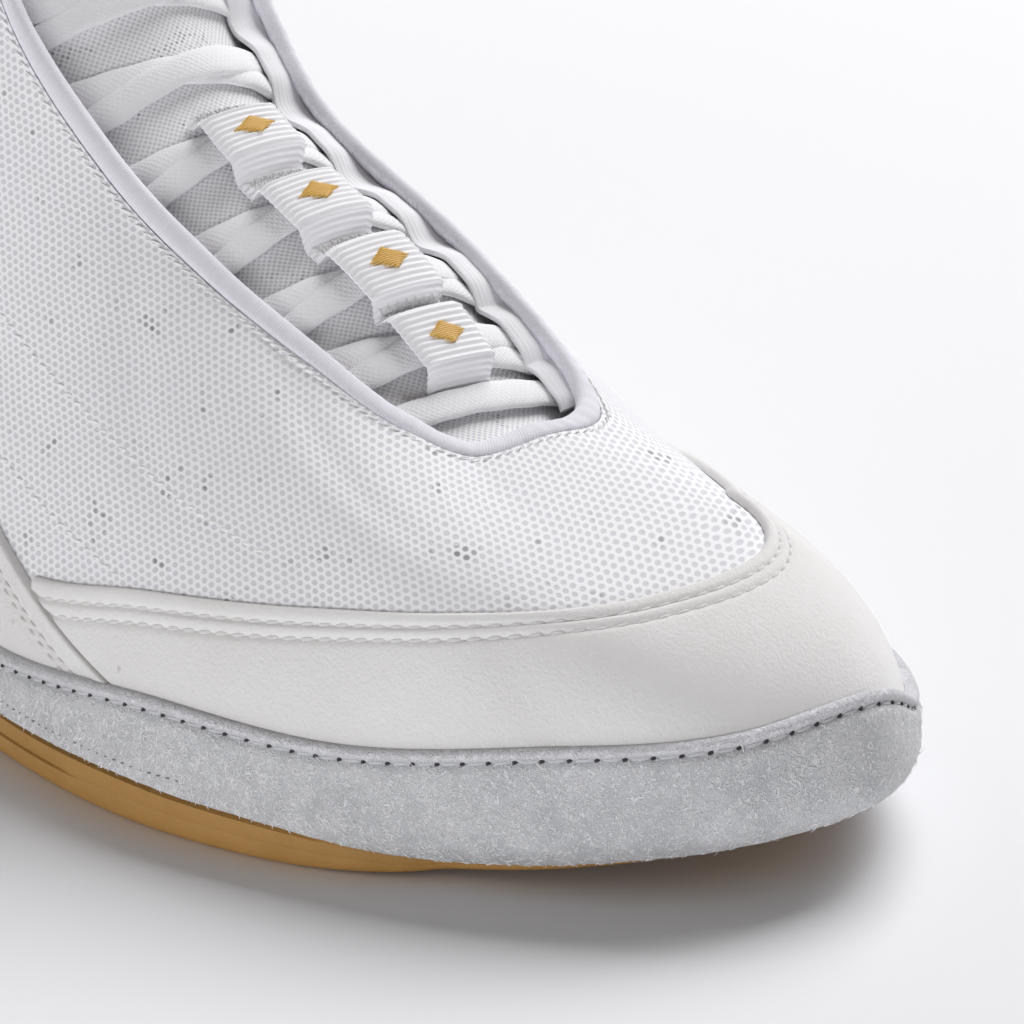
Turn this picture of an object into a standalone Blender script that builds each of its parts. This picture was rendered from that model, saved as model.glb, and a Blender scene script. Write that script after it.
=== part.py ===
"""Wrestling shoe, right foot, built as its maker would: lasted mesh upper, suede overlays, gum sole.

Sizes are in millimetres here and become metres when a mesh is made.
+X points to the toe, +Y to the big toe side, +Z up. The tread rests on z = 0.
"""
import math

import bmesh
import bpy
import numpy as np

for old in list(bpy.data.objects):
    bpy.data.objects.remove(old, do_unlink=True)

SHOE = bpy.data.collections.new("wrestling_shoe")
bpy.context.scene.collection.children.link(SHOE)
CUTTERS = bpy.data.collections.new("cutters")
bpy.context.scene.collection.children.link(CUTTERS)

# The last: overall sizes, the height of its edge over the tread and the turned-in margin
LAST_LENGTH = 278.0
BALL_WIDTH = 97.0
COLLAR_HEIGHT = 150.0
TOE_SPRING = 8.0
EDGE_LIFT = 4.5
MARGIN = 12.0
CORNER = 5.0

# Layers and the gap between facing pieces
GAP = 0.3
MESH_WALL = 1.6
PAD = 3.2
INSOLE_THICK = 3.5
PANEL_THICK = 1.1
EDGE_STEP = 0.5
RAND_THICK = 1.3
RAND_TURN = 2.2

# Overlays: places round the foot as shares of its edge from the toe, heights as shares of the wall
SADDLE_FRONT = 0.142
SADDLE_SLOPE = 2.35
SADDLE_LOW = 0.12
GUARD_TIP = 0.02
QUARTER_TOP = 0.47
HEEL_TOP = 0.54
COUNTER_FRONT = 0.385
SEAM = 0.0008
SEAM_UP = 0.008

# Outsole
LIP_GAP = 0.012
LIP_GAP_UNDER = 0.045
SIDE_GROOVE = 0.5
GROOVE_FADE = (3.0, 4.5)
TREAD_FLAT = 0.03
TREAD_CUT_DEEP = 1.5
TREAD_CUT_WIDE = 2.4
TREAD_CUT_INSET = 6.0
TREAD_PITCH = 9.5
TREAD_BALL = (0.52, 0.84)
TREAD_HEEL = (0.06, 0.24)

# Throat, tongue and binding
THROAT_DEEP = 5.0
CROWN = 9.0
CROWN_FULL_AT = 35.0
TONGUE_THICK = 2.6
TONGUE_ABOVE = 13.0
BIND_WIDE = 4.0
BIND_OVER = 0.6

# Lace rows, millimetres up the throat from its front, and the webbing over them
LACE_WIDE = 5.4
LACE_THICK = 1.5
BAR_AT = 5.6
ROWS_AT = (16.0, 29.8, 46.2, 63.6, 81.0, 98.4, 115.8)
LOOP_ROWS = 4
SPREAD = 3.0
LACE_TILT = 1.8
WEB_WIDE = 13.0
WEB_THICK = 1.0
LOOP_FLAT = 4.6
LOOP_FOOT = 7.0
LOOP_RISE = 3.9
KEEPER_TAIL = 8.4
TAPE_WIDE = 4.0
TAPE_THICK = 0.8
TAPE_AT = 0.87
TAPE_RISE = 2.5
TAPE_FLAT = 6.2
TAPE_FOOT = 8.2
TAPE_TAIL = 9.0

# The frame's origin on the last
CENTRE_X = 138.05
CENTRE_Y = -5.5

# The last, one row for each station from the toe tip round the outer side and back along the inner side.
# Foot edge: along (of the length), across (of the ball width), spring (of the toe spring).
# Top line: along, across, height (of the collar height).
# Wall: lean and roll (of the ball width), rise and drop (of the collar height).
# Bands up the wall: where the rand starts and ends, and where the mudguard ends.
COLUMNS = ("along across spring top_along top_across top_height "
           "lean rise roll drop rand_low rand_top guard_top").split()
LAST = {
    "toe_tip":           (0.990, 0.055, 1.00, 0.742, 0.045, 0.358, 0.03, 0.20, 0.37, 0.06, -0.70, 0.26, 0.60),
    "toe_outer":         (0.976, -0.125, 0.85, 0.738, -0.078, 0.354, 0.04, 0.21, 0.38, 0.06, -0.65, 0.25, 0.58),
    "toe_side":          (0.908, -0.320, 0.44, 0.707, -0.174, 0.386, 0.03, 0.20, 0.30, 0.07, -0.35, 0.26, 0.54),
    "ball_front":        (0.802, -0.468, 0.10, 0.645, -0.212, 0.435, 0.03, 0.17, 0.21, 0.08, -0.02, 0.25, 0.49),
    "ball_outer":        (0.660, -0.560, 0.00, 0.570, -0.232, 0.490, 0.03, 0.155, 0.15, 0.10, 0.08, 0.26, 0.43),
    "waist_front":       (0.512, -0.522, 0.02, 0.488, -0.240, 0.570, 0.03, 0.16, 0.12, 0.14, 0.08, 0.21, 0.35),
    "waist_outer":       (0.400, -0.430, 0.15, 0.417, -0.236, 0.675, 0.03, 0.20, 0.12, 0.20, 0.08, 0.18, 0.36),
    "heel_front_outer":  (0.280, -0.370, 0.10, 0.363, -0.232, 0.830, 0.04, 0.26, 0.14, 0.30, 0.08, 0.15, 0.36),
    "ankle_outer":       (0.190, -0.348, 0.02, 0.315, -0.262, 0.985, 0.05, 0.30, 0.13, 0.38, 0.08, 0.14, 0.36),
    "heel_outer":        (0.105, -0.318, 0.00, 0.215, -0.325, 1.030, 0.06, 0.32, 0.08, 0.40, 0.08, 0.14, 0.36),
    "heel_back_outer":   (0.030, -0.205, 0.00, 0.095, -0.235, 0.975, 0.06, 0.30, -0.02, 0.40, 0.08, 0.15, 0.38),
    "heel_back":         (0.000, 0.000, 0.00, 0.052, 0.000, 0.940, 0.06, 0.28, -0.06, 0.40, 0.08, 0.16, 0.40),
    "heel_back_inner":   (0.030, 0.205, 0.00, 0.095, 0.235, 0.975, 0.06, 0.30, -0.02, 0.40, 0.08, 0.15, 0.38),
    "heel_inner":        (0.105, 0.315, 0.00, 0.215, 0.325, 1.030, 0.06, 0.32, 0.08, 0.40, 0.08, 0.14, 0.36),
    "ankle_inner":       (0.190, 0.330, 0.02, 0.315, 0.262, 0.985, 0.05, 0.30, 0.13, 0.38, 0.08, 0.14, 0.36),
    "heel_front_inner":  (0.285, 0.315, 0.10, 0.363, 0.236, 0.830, 0.04, 0.27, 0.14, 0.30, 0.08, 0.15, 0.36),
    "arch":              (0.425, 0.260, 0.20, 0.425, 0.240, 0.675, 0.03, 0.24, 0.12, 0.20, 0.08, 0.18, 0.36),
    "waist_front_inner": (0.565, 0.336, 0.05, 0.493, 0.220, 0.562, 0.03, 0.20, 0.12, 0.14, 0.07, 0.22, 0.39),
    "ball_inner":        (0.710, 0.440, 0.00, 0.612, 0.236, 0.462, 0.03, 0.19, 0.14, 0.11, 0.03, 0.23, 0.50),
    "toe_side_inner":    (0.868, 0.400, 0.34, 0.712, 0.222, 0.359, 0.01, 0.18, 0.19, 0.125, -0.35, 0.22, 0.66),
    "toe_inner":         (0.950, 0.232, 0.75, 0.739, 0.145, 0.351, 0.02, 0.176, 0.28, 0.085, -0.65, 0.20, 0.74),
}
STATIONS = list(LAST)
ROWS = np.array([LAST[name] for name in STATIONS])

# Where the rounded corner between the wall and the margin starts and ends
CORNER_UP = 0.12
CORNER_WALL = 0.07


def column(name):
    return COLUMNS.index(name)


def station_knots():
    """Place each station round the foot edge: 0 is the toe tip and 0.5 the back of the heel."""
    plan = ROWS[:, :2] * [LAST_LENGTH, BALL_WIDTH]
    step = np.linalg.norm(np.roll(plan, -1, 0) - plan, axis=1)
    heel = STATIONS.index("heel_back")
    outer = np.concatenate([[0.0], np.cumsum(step[:heel])])
    inner = np.concatenate([[0.0], np.cumsum(step[heel:])])
    return np.concatenate([0.5 * outer / outer[-1], 0.5 + 0.5 * inner[1:-1] / inner[-1]])


KNOTS = station_knots()


def knot(name):
    return float(KNOTS[STATIONS.index(name)])


def round_foot(u, rows=ROWS):
    """Values of the last's columns at the places u round the foot, as a closed smooth curve."""
    k = np.concatenate([KNOTS - 1, KNOTS, KNOTS + 1])
    r = np.concatenate([rows] * 3)
    h = np.diff(k)[:, None]
    d = np.diff(r, axis=0) / h
    m = np.zeros_like(r)
    m[1:-1] = (d[:-1] * h[1:] + d[1:] * h[:-1]) / (h[1:] + h[:-1])
    u = np.asarray(u, float) % 1.0
    i = np.searchsorted(k, u, side="right") - 1
    w = (k[i + 1] - k[i])[:, None]
    t = ((u - k[i]) / w[:, 0])[:, None]
    start = (2 * t ** 3 - 3 * t ** 2 + 1) * r[i] + (t ** 3 - 2 * t ** 2 + t) * w * m[i]
    end = (3 * t ** 2 - 2 * t ** 3) * r[i + 1] + (t ** 3 - t ** 2) * w * m[i + 1]
    return start + end


def frame_at(u):
    """Foot edge, plan normal and the four control points of the wall at each place u."""
    r = round_foot(u)
    edge = np.stack([r[:, 0] * LAST_LENGTH, r[:, 1] * BALL_WIDTH, EDGE_LIFT + TOE_SPRING * r[:, 2]], 1)
    e = 1e-3
    ahead = round_foot(np.asarray(u) + e, ROWS[:, :2]) * [LAST_LENGTH, BALL_WIDTH]
    behind = round_foot(np.asarray(u) - e, ROWS[:, :2]) * [LAST_LENGTH, BALL_WIDTH]
    g = ahead - behind
    out = np.stack([-g[:, 1], g[:, 0], 0 * g[:, 0]], 1)
    out /= np.linalg.norm(out, axis=1)[:, None]
    top = np.stack([r[:, 3] * LAST_LENGTH, r[:, 4] * BALL_WIDTH, r[:, 5] * COLLAR_HEIGHT], 1)
    up = np.array([0.0, 0.0, 1.0])
    low = edge + out * r[:, 6:7] * BALL_WIDTH + up * r[:, 7:8] * COLLAR_HEIGHT
    high = top + out * r[:, 8:9] * BALL_WIDTH - up * r[:, 9:10] * COLLAR_HEIGHT
    return edge, out, low, high, top


def skin(u, s):
    """Points of the last's skin. u has one value a row; s runs -1 (margin) to 1 (top line) along each row."""
    edge, out, low, high, top = (v[:, None] for v in frame_at(u))

    def wall(t):
        t = t[..., None]
        return ((1 - t) ** 3 * edge + 3 * t * (1 - t) ** 2 * low
                + 3 * t ** 2 * (1 - t) * high + t ** 3 * top)

    c = CORNER_UP
    t = CORNER_WALL + (s - c) / (1 - c) * (1 - CORNER_WALL)
    side = wall(np.clip(t, CORNER_WALL, 1))
    m = np.clip((-s - c) / (1 - c), 0, 1)[..., None]
    under = edge - out * (CORNER + m * (MARGIN - CORNER))
    q = np.clip((s + c) / (2 * c), 0, 1)[..., None]
    start = edge - out * CORNER
    end = wall(np.full(s.shape[:1] + (1,), CORNER_WALL))
    corner = (1 - q) ** 2 * start + 2 * q * (1 - q) * edge + q ** 2 * end
    return np.where((s > c)[..., None], side, np.where((s < -c)[..., None], under, corner))


def normals(u, s):
    e = 2e-3
    du = skin(u + e, s) - skin(u - e, s)
    ds = skin(u, np.minimum(s + e, 1.0)) - skin(u, np.maximum(s - e, -1.0))
    n = np.cross(ds, du)
    return n / np.linalg.norm(n, axis=-1, keepdims=True)


def layer(u, s, off):
    """The skin moved outwards by off millimetres, inwards if it is negative; u is a list or a grid like s."""
    s = np.asarray(s, float)
    u = np.asarray(u, float)
    if u.ndim == 1:
        u = u[:, None]
    u, s, off = np.broadcast_arrays(u, s, np.asarray(off, float))
    flat_u = u.reshape(-1)
    flat_s = s.reshape(-1, 1)
    moved = skin(flat_u, flat_s) + normals(flat_u, flat_s) * off.reshape(-1, 1, 1)
    return moved.reshape(s.shape + (3,))


def ease(x, start, end):
    t = np.clip((x - start) / (end - start), 0, 1)
    return t * t * (3 - 2 * t)


# Meshes

def make(name, points, faces):
    """One closed solid from points in millimetres."""
    bm = bmesh.new()
    shift = np.array([CENTRE_X, CENTRE_Y, 0.0])
    verts = [bm.verts.new(tuple((np.asarray(p) - shift) * 0.001)) for p in points]
    for face in faces:
        bm.faces.new([verts[i] for i in face])
    bmesh.ops.remove_doubles(bm, verts=bm.verts, dist=2e-6)
    bmesh.ops.triangulate(bm, faces=bm.faces, quad_method="FIXED")
    bmesh.ops.recalc_face_normals(bm, faces=bm.faces)
    mesh = bpy.data.meshes.new(name)
    bm.to_mesh(mesh)
    bm.free()
    obj = bpy.data.objects.new(name, mesh)
    SHOE.objects.link(obj)
    return obj


def grid_faces(n, m, base, ring):
    faces = []
    for i in range(n if ring else n - 1):
        a = base + i * m
        b = base + ((i + 1) % n) * m
        for j in range(m - 1):
            faces.append((a + j, b + j, b + j + 1, a + j + 1))
    return faces


def shell(name, outer, inner, ring):
    """A curved sheet between two grids of points, closed along its edges."""
    n, m = outer.shape[:2]
    size = n * m
    faces = grid_faces(n, m, 0, ring)
    faces += [(f[0], f[3], f[2], f[1]) for f in grid_faces(n, m, size, ring)]
    for i in range(n if ring else n - 1):
        a = i * m
        b = ((i + 1) % n) * m
        faces.append((a, size + a, size + b, b))
        faces.append((a + m - 1, b + m - 1, size + b + m - 1, size + a + m - 1))
    if not ring:
        z = (n - 1) * m
        for j in range(m - 1):
            faces.append((j, j + 1, size + j + 1, size + j))
            faces.append((z + j, size + z + j, size + z + j + 1, z + j + 1))
    points = np.concatenate([outer.reshape(-1, 3), inner.reshape(-1, 3)])
    return make(name, points, faces)


def tube(name, rings, closed=False):
    """A solid swept through rings of points, with flat ends unless it closes on itself."""
    n, m = rings.shape[:2]
    faces = []
    for i in range(n if closed else n - 1):
        a = i * m
        b = ((i + 1) % n) * m
        for j in range(m):
            k = (j + 1) % m
            faces.append((a + j, b + j, b + k, a + k))
    if not closed:
        faces.append(tuple(range(m)))
        faces.append(tuple((n - 1) * m + j for j in reversed(range(m))))
    return make(name, rings.reshape(-1, 3), faces)


def boolean(target, tools, kind):
    for tool in tools:
        mod = target.modifiers.new("cut", "BOOLEAN")
        mod.operation = kind
        mod.solver = "EXACT"
        mod.object = tool
        bpy.context.view_layer.objects.active = target
        bpy.ops.object.modifier_apply(modifier=mod.name)
    for tool in tools:
        bpy.data.objects.remove(tool, do_unlink=True)
    return target


def round_places(count):
    """Even places round the foot, a few more at the toe and the heel where it turns fastest."""
    w = np.arange(count) / count
    return (w - 0.012 * np.sin(4 * math.pi * w)) % 1.0


def ladder(left, right, columns, crown):
    """Points across from one side to the other, with the middle raised by crown."""
    rows = []
    for a, b in zip(left, right):
        row = []
        for c in range(1, columns):
            w = c / columns
            row.append(a * (1 - w) + b * w + np.array([0, 0, crown * math.sin(math.pi * w)]))
        rows.append(row)
    return rows


def capped(name, rings, columns, crown_first, crown_last):
    """A solid from closed rings round the foot, its first and last ring filled across the foot."""
    n = rings[0].shape[0]
    half = n // 2
    points = [p for ring in rings for p in ring]
    faces = []
    for r in range(len(rings) - 1):
        for i in range(n):
            a = r * n + i
            b = r * n + (i + 1) % n
            faces.append((a, b, b + n, a + n))
    for which, crown in ((0, crown_first), (len(rings) - 1, crown_last)):
        ring = rings[which]
        base = which * n
        left = [ring[i] for i in range(1, half)]
        right = [ring[n - i] for i in range(1, half)]
        inside = ladder(left, right, columns, crown)
        index = []
        for j, row in enumerate(inside):
            line = [base + j + 1]
            for p in row:
                line.append(len(points))
                points.append(p)
            line.append(base + n - j - 1)
            index.append(line)
        for a, b in zip(index[:-1], index[1:]):
            for c in range(columns):
                faces.append((a[c], b[c], b[c + 1], a[c + 1]))
        for c in range(columns):
            faces.append((base, index[0][c], index[0][c + 1]))
            faces.append((base + half, index[-1][c + 1], index[-1][c]))
    return make(name, points, faces)


# Upper: one hollow mesh shell with a lasting margin, padded inside at the ankle
UPPER_LEVELS = np.array([-1.0, -0.12, -0.04, 0.04, 0.12, 0.22, 0.34, 0.48, 0.62, 0.76, 0.88, 1.0])


def upper_wall(u, s):
    """Wall thickness: the mesh, thicker round the ankle where the collar is padded."""
    u = np.asarray(u)[:, None]
    around = ease(u, 0.30, 0.38) * (1 - ease(u, 0.62, 0.70))
    up = ease(s, 0.55, 0.8) * (1 - 0.6 * ease(s, 0.92, 1.0))
    return MESH_WALL + PAD * around * up


places = round_places(54)
levels = np.broadcast_to(UPPER_LEVELS, (len(places), len(UPPER_LEVELS)))
thick = upper_wall(places, levels)
shell("upper", layer(places, levels, 0.0), layer(places, levels, -thick), True)

# Insole: a cupped foam sockliner that lies on the margin
lift = MESH_WALL + GAP
insole_levels = ((-1.0, -lift), (-0.12, -lift), (-0.04, -lift), (0.04, -lift), (0.12, -lift),
                 (0.12, -lift - 1.4), (-0.12, -lift - INSOLE_THICK), (-1.0, -lift - INSOLE_THICK))
insole_rings = [layer(places, np.full((len(places), 1), s), off)[:, 0] for s, off in insole_levels]
capped("insole", insole_rings, 3, 0.0, 0.0)

# Rand: the hairy suede band stitched round the foot of the wall, wrapped under the toe
def rand_inner(s):
    """The rand lies on the overlays, and on the mesh where it wraps under."""
    return GAP + (GAP + PANEL_THICK) * ease(s, -0.05, 0.09)


def rand_outer(s):
    """Thicker where it turns under the toe."""
    return rand_inner(s) + RAND_THICK + (RAND_TURN - RAND_THICK) * (1 - ease(s, -0.1, 0.12))


def bands_at(u, name):
    return round_foot(np.asarray(u).reshape(-1))[:, column(name)].reshape(np.shape(u))


def levels_between(low, top):
    """The upper's levels kept between two bands, so that facing pieces share their facets."""
    s = np.clip(UPPER_LEVELS[None, :], low[:, None], top[:, None])
    s[:, 0] = low
    s[:, -1] = top
    return s


low = bands_at(places, "rand_low")
high = bands_at(places, "rand_top")
s = levels_between(low, high)
shell("rand", layer(places, s, rand_outer(s)), layer(places, s, rand_inner(s)), True)


# Overlays: suede mudguard, midfoot saddles and heel counter in one layer under the rand
def from_toe(u):
    """How far a place is from the toe tip, the same on both sides."""
    return np.abs((np.asarray(u) + 0.5) % 1.0 - 0.5)


def foot_line(u):
    """The overlays' lower edge, hidden behind the rand."""
    return np.maximum(bands_at(u, "rand_low") + 0.02, 0.10)


def saddle_line(u):
    """The saddle's raised edge climbs backwards to the quarter's height, then on to the heel's."""
    climb = SADDLE_LOW + (from_toe(u) - SADDLE_FRONT) * SADDLE_SLOPE
    quarter = QUARTER_TOP + (HEEL_TOP - QUARTER_TOP) * ease(from_toe(u), COUNTER_FRONT, 0.47)
    return np.minimum(climb, quarter)


def guard_line(u):
    return bands_at(u, "guard_top")


def guard_foot(u):
    """The mudguard ends along the saddle's edge."""
    return np.maximum(foot_line(u), saddle_line(u) + SEAM_UP)


def guard_end(side):
    """Where the mudguard's top comes down to the saddle's edge; side is 1 outer and -1 inner."""
    u = side * np.linspace(SADDLE_FRONT, COUNTER_FRONT, 600)
    return u[np.argmax(guard_line(u) - guard_foot(u) < GUARD_TIP)]


def nearest_place(u):
    return places[np.argmin(np.abs(places - u))]


def overlay(name, start, end, low_line, top_line, step):
    """A panel on the mesh between two lines; step makes it thicker above the rand."""
    whole = np.concatenate([places - 1, places, places + 1])
    keep = whole[(whole > start + 0.003) & (whole < end - 0.003)]
    u = np.concatenate([[start], keep, [end]])
    s = levels_between(low_line(u), top_line(u))
    over = bands_at(u, "rand_top")[:, None]
    thick = PANEL_THICK + step * ease(s - over, 0.03, 0.06)
    return shell(name, layer(u, s, GAP + thick), layer(u, s, GAP), False)


front = nearest_place(SADDLE_FRONT + 0.01)
front_inner = nearest_place(1 - SADDLE_FRONT - 0.01)
overlay("mudguard", guard_end(-1), guard_end(1), guard_foot, guard_line, 0.0)
overlay("saddle_outer", front, COUNTER_FRONT - SEAM, foot_line, saddle_line, EDGE_STEP)
overlay("heel_counter", COUNTER_FRONT, 1 - COUNTER_FRONT, foot_line, saddle_line, 0.0)
overlay("saddle_inner", 1 - COUNTER_FRONT + SEAM, front_inner, foot_line, saddle_line, EDGE_STEP)


# Outsole: gum rubber cup with arch, toe spring, a groove round its side and grooves across the tread
lip = low - LIP_GAP - (LIP_GAP_UNDER - LIP_GAP) * (1 - ease(low, -0.15, 0.0))
count = len(places)
edge, out, _, _, _ = frame_at(places)
spring = np.maximum(bands_at(places, "spring") - TREAD_FLAT, 0.0) * TOE_SPRING


def sole_ring(level, off):
    """A ring on the skin at one of the upper's levels, or at the lip where that is lower."""
    s = np.minimum(lip, level)
    return layer(places, s[:, None], np.reshape(off, (-1, 1)))[:, 0]


lip_out = sole_ring(1.0, rand_outer(lip))
lip_in = sole_ring(1.0, GAP)
base = lip_out.copy()
base[:, 2] = spring
drop = lip_out[:, 2] - base[:, 2]
groove_deep = SIDE_GROOVE * ease(drop, *GROOVE_FADE)


def side_ring(share, inset):
    ring = lip_out.copy()
    ring[:, 2] = base[:, 2] + drop * share
    return ring - out * np.reshape(inset, (-1, 1))


tread_rim = side_ring(0.0, 2.0)
board = layer(places, np.full((count, 1), -1.0), -MESH_WALL)[:, 0] - out * GAP
step_foot = layer(places, np.full((count, 1), -1.0), GAP)[:, 0] - out * GAP
sole_rings = [board, step_foot, sole_ring(-0.12, GAP), sole_ring(-0.04, GAP),
              sole_ring(0.04, GAP), lip_in, lip_out, side_ring(0.66, -0.1), side_ring(0.60, groove_deep),
              side_ring(0.54, -0.1), side_ring(0.22, 0.3), tread_rim]
outsole = capped("outsole", sole_rings, 3, 0.0, 0.0)


def sole_y(x):
    """The two edges of the tread at a place along the sole."""
    heel = int(np.argmin(tread_rim[:, 0]))
    toe = int(np.argmax(tread_rim[:, 0]))
    ring = np.roll(tread_rim, -toe, axis=0)
    turn = (heel - toe) % count
    outer_side = ring[:turn + 1][::-1]
    inner_side = np.concatenate([ring[turn:], ring[:1]])
    return (np.interp(x, outer_side[:, 0], outer_side[:, 1]), np.interp(x, inner_side[:, 0], inner_side[:, 1]),
            0.5 * (np.interp(x, outer_side[:, 0], outer_side[:, 2]) + np.interp(x, inner_side[:, 0], inner_side[:, 2])))


def tread_cut(x):
    """A cutter for one groove across the tread."""
    y_low, y_high, z = sole_y(x)
    wide = y_high - y_low - 2 * TREAD_CUT_INSET
    bm = bmesh.new()
    bmesh.ops.create_cube(bm, size=1.0)
    size = np.array([TREAD_CUT_WIDE, wide, 2 * TREAD_CUT_DEEP]) * 0.001
    place = (np.array([x, 0.5 * (y_low + y_high), z]) - [CENTRE_X, CENTRE_Y, 0.0]) * 0.001
    for vert in bm.verts:
        vert.co = [vert.co[i] * size[i] + place[i] for i in range(3)]
    mesh = bpy.data.meshes.new("tread_cut")
    bm.to_mesh(mesh)
    bm.free()
    cutter = bpy.data.objects.new("tread_cut", mesh)
    cutter.hide_render = True
    cutter.display_type = "WIRE"
    CUTTERS.objects.link(cutter)
    return cutter


cuts = []
for start, end in (TREAD_BALL, TREAD_HEEL):
    for x in np.arange(start * LAST_LENGTH, end * LAST_LENGTH, TREAD_PITCH):
        cuts.append(tread_cut(x))
boolean(outsole, cuts, "DIFFERENCE")


# Throat: the opening's two edges paired up by their length, and the tongue's surface between them


def throat_edge(start, end):
    u = np.linspace(start, end, 400)
    p = layer(u, np.ones((400, 1)), 0.0)[:, 0]
    run = np.concatenate([[0.0], np.cumsum(np.linalg.norm(np.diff(p, axis=0), axis=1))])
    return u, run


OUTER_U, OUTER_RUN = throat_edge(knot("toe_side"), knot("ankle_outer"))
INNER_U, INNER_RUN = throat_edge(knot("toe_side_inner"), knot("ankle_inner"))
THROAT = 0.5 * (OUTER_RUN[-1] + INNER_RUN[-1])


def throat_u(v):
    """Places round the foot of the two edges, v millimetres up the throat from its front."""
    v = np.asarray(v, float) / THROAT
    return np.interp(v * OUTER_RUN[-1], OUTER_RUN, OUTER_U), np.interp(v * INNER_RUN[-1], INNER_RUN, INNER_U)


def across(v, w):
    a, b = throat_u(v)
    deep_a = THROAT_DEEP - MESH_WALL + upper_wall(a, np.full((len(a), 1), 0.95))
    deep_b = THROAT_DEEP - MESH_WALL + upper_wall(b, np.full((len(b), 1), 0.95))
    pa = layer(a, np.full((len(a), 1), 0.97), -deep_a)[:, 0]
    pb = layer(b, np.full((len(b), 1), 0.97), -deep_b)[:, 0]
    return pa, pb, pa * (1 - w[:, None]) + pb * w[:, None]


def tongue_top(v, w):
    """A point on top of the tongue, v millimetres up the throat and the share w of the way across."""
    v = np.asarray(v, float)
    w = np.asarray(w, float)
    extra = np.maximum(v - THROAT, 0.0)
    v = np.minimum(v, THROAT)
    pa, pb, p = across(v, w)
    half = np.full(len(v), 0.5)
    along = across(np.minimum(v + 1.0, THROAT), half)[2] - across(np.minimum(v + 1.0, THROAT) - 4.0, half)[2]
    along /= np.linalg.norm(along, axis=1)[:, None]
    n = np.cross(along, pa - pb)
    n /= np.linalg.norm(n, axis=1)[:, None]
    crown = CROWN * (0.35 + 0.65 * ease(v, 0.0, CROWN_FULL_AT))
    return p + n * (crown * 4 * w * (1 - w))[:, None] + along * extra[:, None]


def over_tongue(v, w, lift):
    """A point lifted off the tongue's top."""
    v, w, lift = np.broadcast_arrays(np.asarray(v, float), np.asarray(w, float), np.asarray(lift, float))
    shape = v.shape
    v, w, lift = v.reshape(-1), w.reshape(-1), lift.reshape(-1)
    e = 0.01
    dw = tongue_top(v, w + e) - tongue_top(v, w - e)
    dv = tongue_top(v + 1.0, w) - tongue_top(v - 1.0, w)
    n = np.cross(dw, dv)
    n /= np.linalg.norm(n, axis=1)[:, None]
    return (tongue_top(v, w) + n * lift[:, None]).reshape(shape + (3,))


# Tongue: padded mesh, tucked under the vamp in front and under the throat's edges at the sides
tuck = MESH_WALL + GAP
cols = 9
front_u = np.linspace(knot("toe_side"), knot("toe_side_inner") - 1, cols)
front_s = 0.84 + 0.11 * ease(1 - np.abs(np.linspace(-1, 1, cols)), 0.0, 0.4)
front_deep = tuck + 0.4 + (THROAT_DEEP - 0.8 - tuck) * ease(front_s, 0.84, 0.95)
rows = [layer(front_u * 0.7, np.full((cols, 1), 0.83), -(tuck + 0.4))[:, 0],
        layer(front_u, front_s[:, None], -front_deep[:, None])[:, 0]]
between = [(a + b) / 2 for a, b in zip((BAR_AT / 2,) + ROWS_AT, ROWS_AT + (THROAT,))]
tape_end = ROWS_AT[-1] + TAPE_TAIL
for v in sorted([BAR_AT / 2, tape_end] + between + list(ROWS_AT) + [THROAT, THROAT + TONGUE_ABOVE]):
    vv = np.full(cols - 2, v)
    mid = over_tongue(vv, np.linspace(0.0, 1.0, cols - 2), 0.0)
    a, b = throat_u(np.array([min(v, THROAT)]))
    wall_a = upper_wall(a, np.array([[0.84]]))[0, 0]
    wall_b = upper_wall(b, np.array([[0.84]]))[0, 0]
    side_a = layer(a, np.array([[0.84]]), -(wall_a + GAP + 0.2))[0]
    side_b = layer(b, np.array([[0.84]]), -(wall_b + GAP + 0.2))[0]
    if v > THROAT:
        side_a = mid[:1] + (side_a - over_tongue([THROAT], [0.0], [0.0]))
        side_b = mid[-1:] + (side_b - over_tongue([THROAT], [1.0], [0.0]))
    rows.append(np.concatenate([side_a, mid, side_b]))
top = np.array(rows)
du = np.gradient(top, axis=1)
dv = np.gradient(top, axis=0)
n = np.cross(du, dv)
n /= np.linalg.norm(n, axis=-1, keepdims=True)
shell("tongue", top, top - n * TONGUE_THICK, False)


# Binding: a rolled woven edge round the throat and the collar
ones = np.ones((len(places), 1))
rim = layer(places, ones, 0.0)[:, 0]
below = layer(places, ones * 0.96, 0.0)[:, 0]
n = normals(places, ones)[:, 0]
t = rim - below
t -= n * np.sum(t * n, axis=1)[:, None]
t /= np.linalg.norm(t, axis=1)[:, None]
wall = upper_wall(places, ones)
centre = rim + t * (GAP + BIND_WIDE / 2) - n * wall / 2
rings = []
for k in range(6):
    a = 2 * math.pi * (k + 0.5) / 6
    rings.append(centre + t * (math.cos(a) * BIND_WIDE / 2) + n * (math.sin(a) * (wall / 2 + BIND_OVER)))
tube("throat_binding", np.stack(rings, 1), closed=True)


# Laces: one flat lace, a bar in front and a crossing in each row up the throat
LACE_LIFT = GAP + LACE_THICK / 2


def strand(name, v_start, v_end, hump):
    """A flat strand from the outer edge to the inner over the tongue; hump lifts it over another strand."""
    w = np.linspace(0.015, 0.985, 7)
    v = v_start + (v_end - v_start) * w
    lift = LACE_LIFT + 0.25 + hump * np.sin(math.pi * w) ** 4
    rings = []
    for x, y in ((-0.5, 0), (-0.34, 0.42), (0.34, 0.42), (0.5, 0), (0.34, -0.42), (-0.34, -0.42)):
        rings.append(over_tongue(v + x * LACE_WIDE, w, lift + y * LACE_THICK))
    return tube(name, np.stack(rings, 1))


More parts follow.
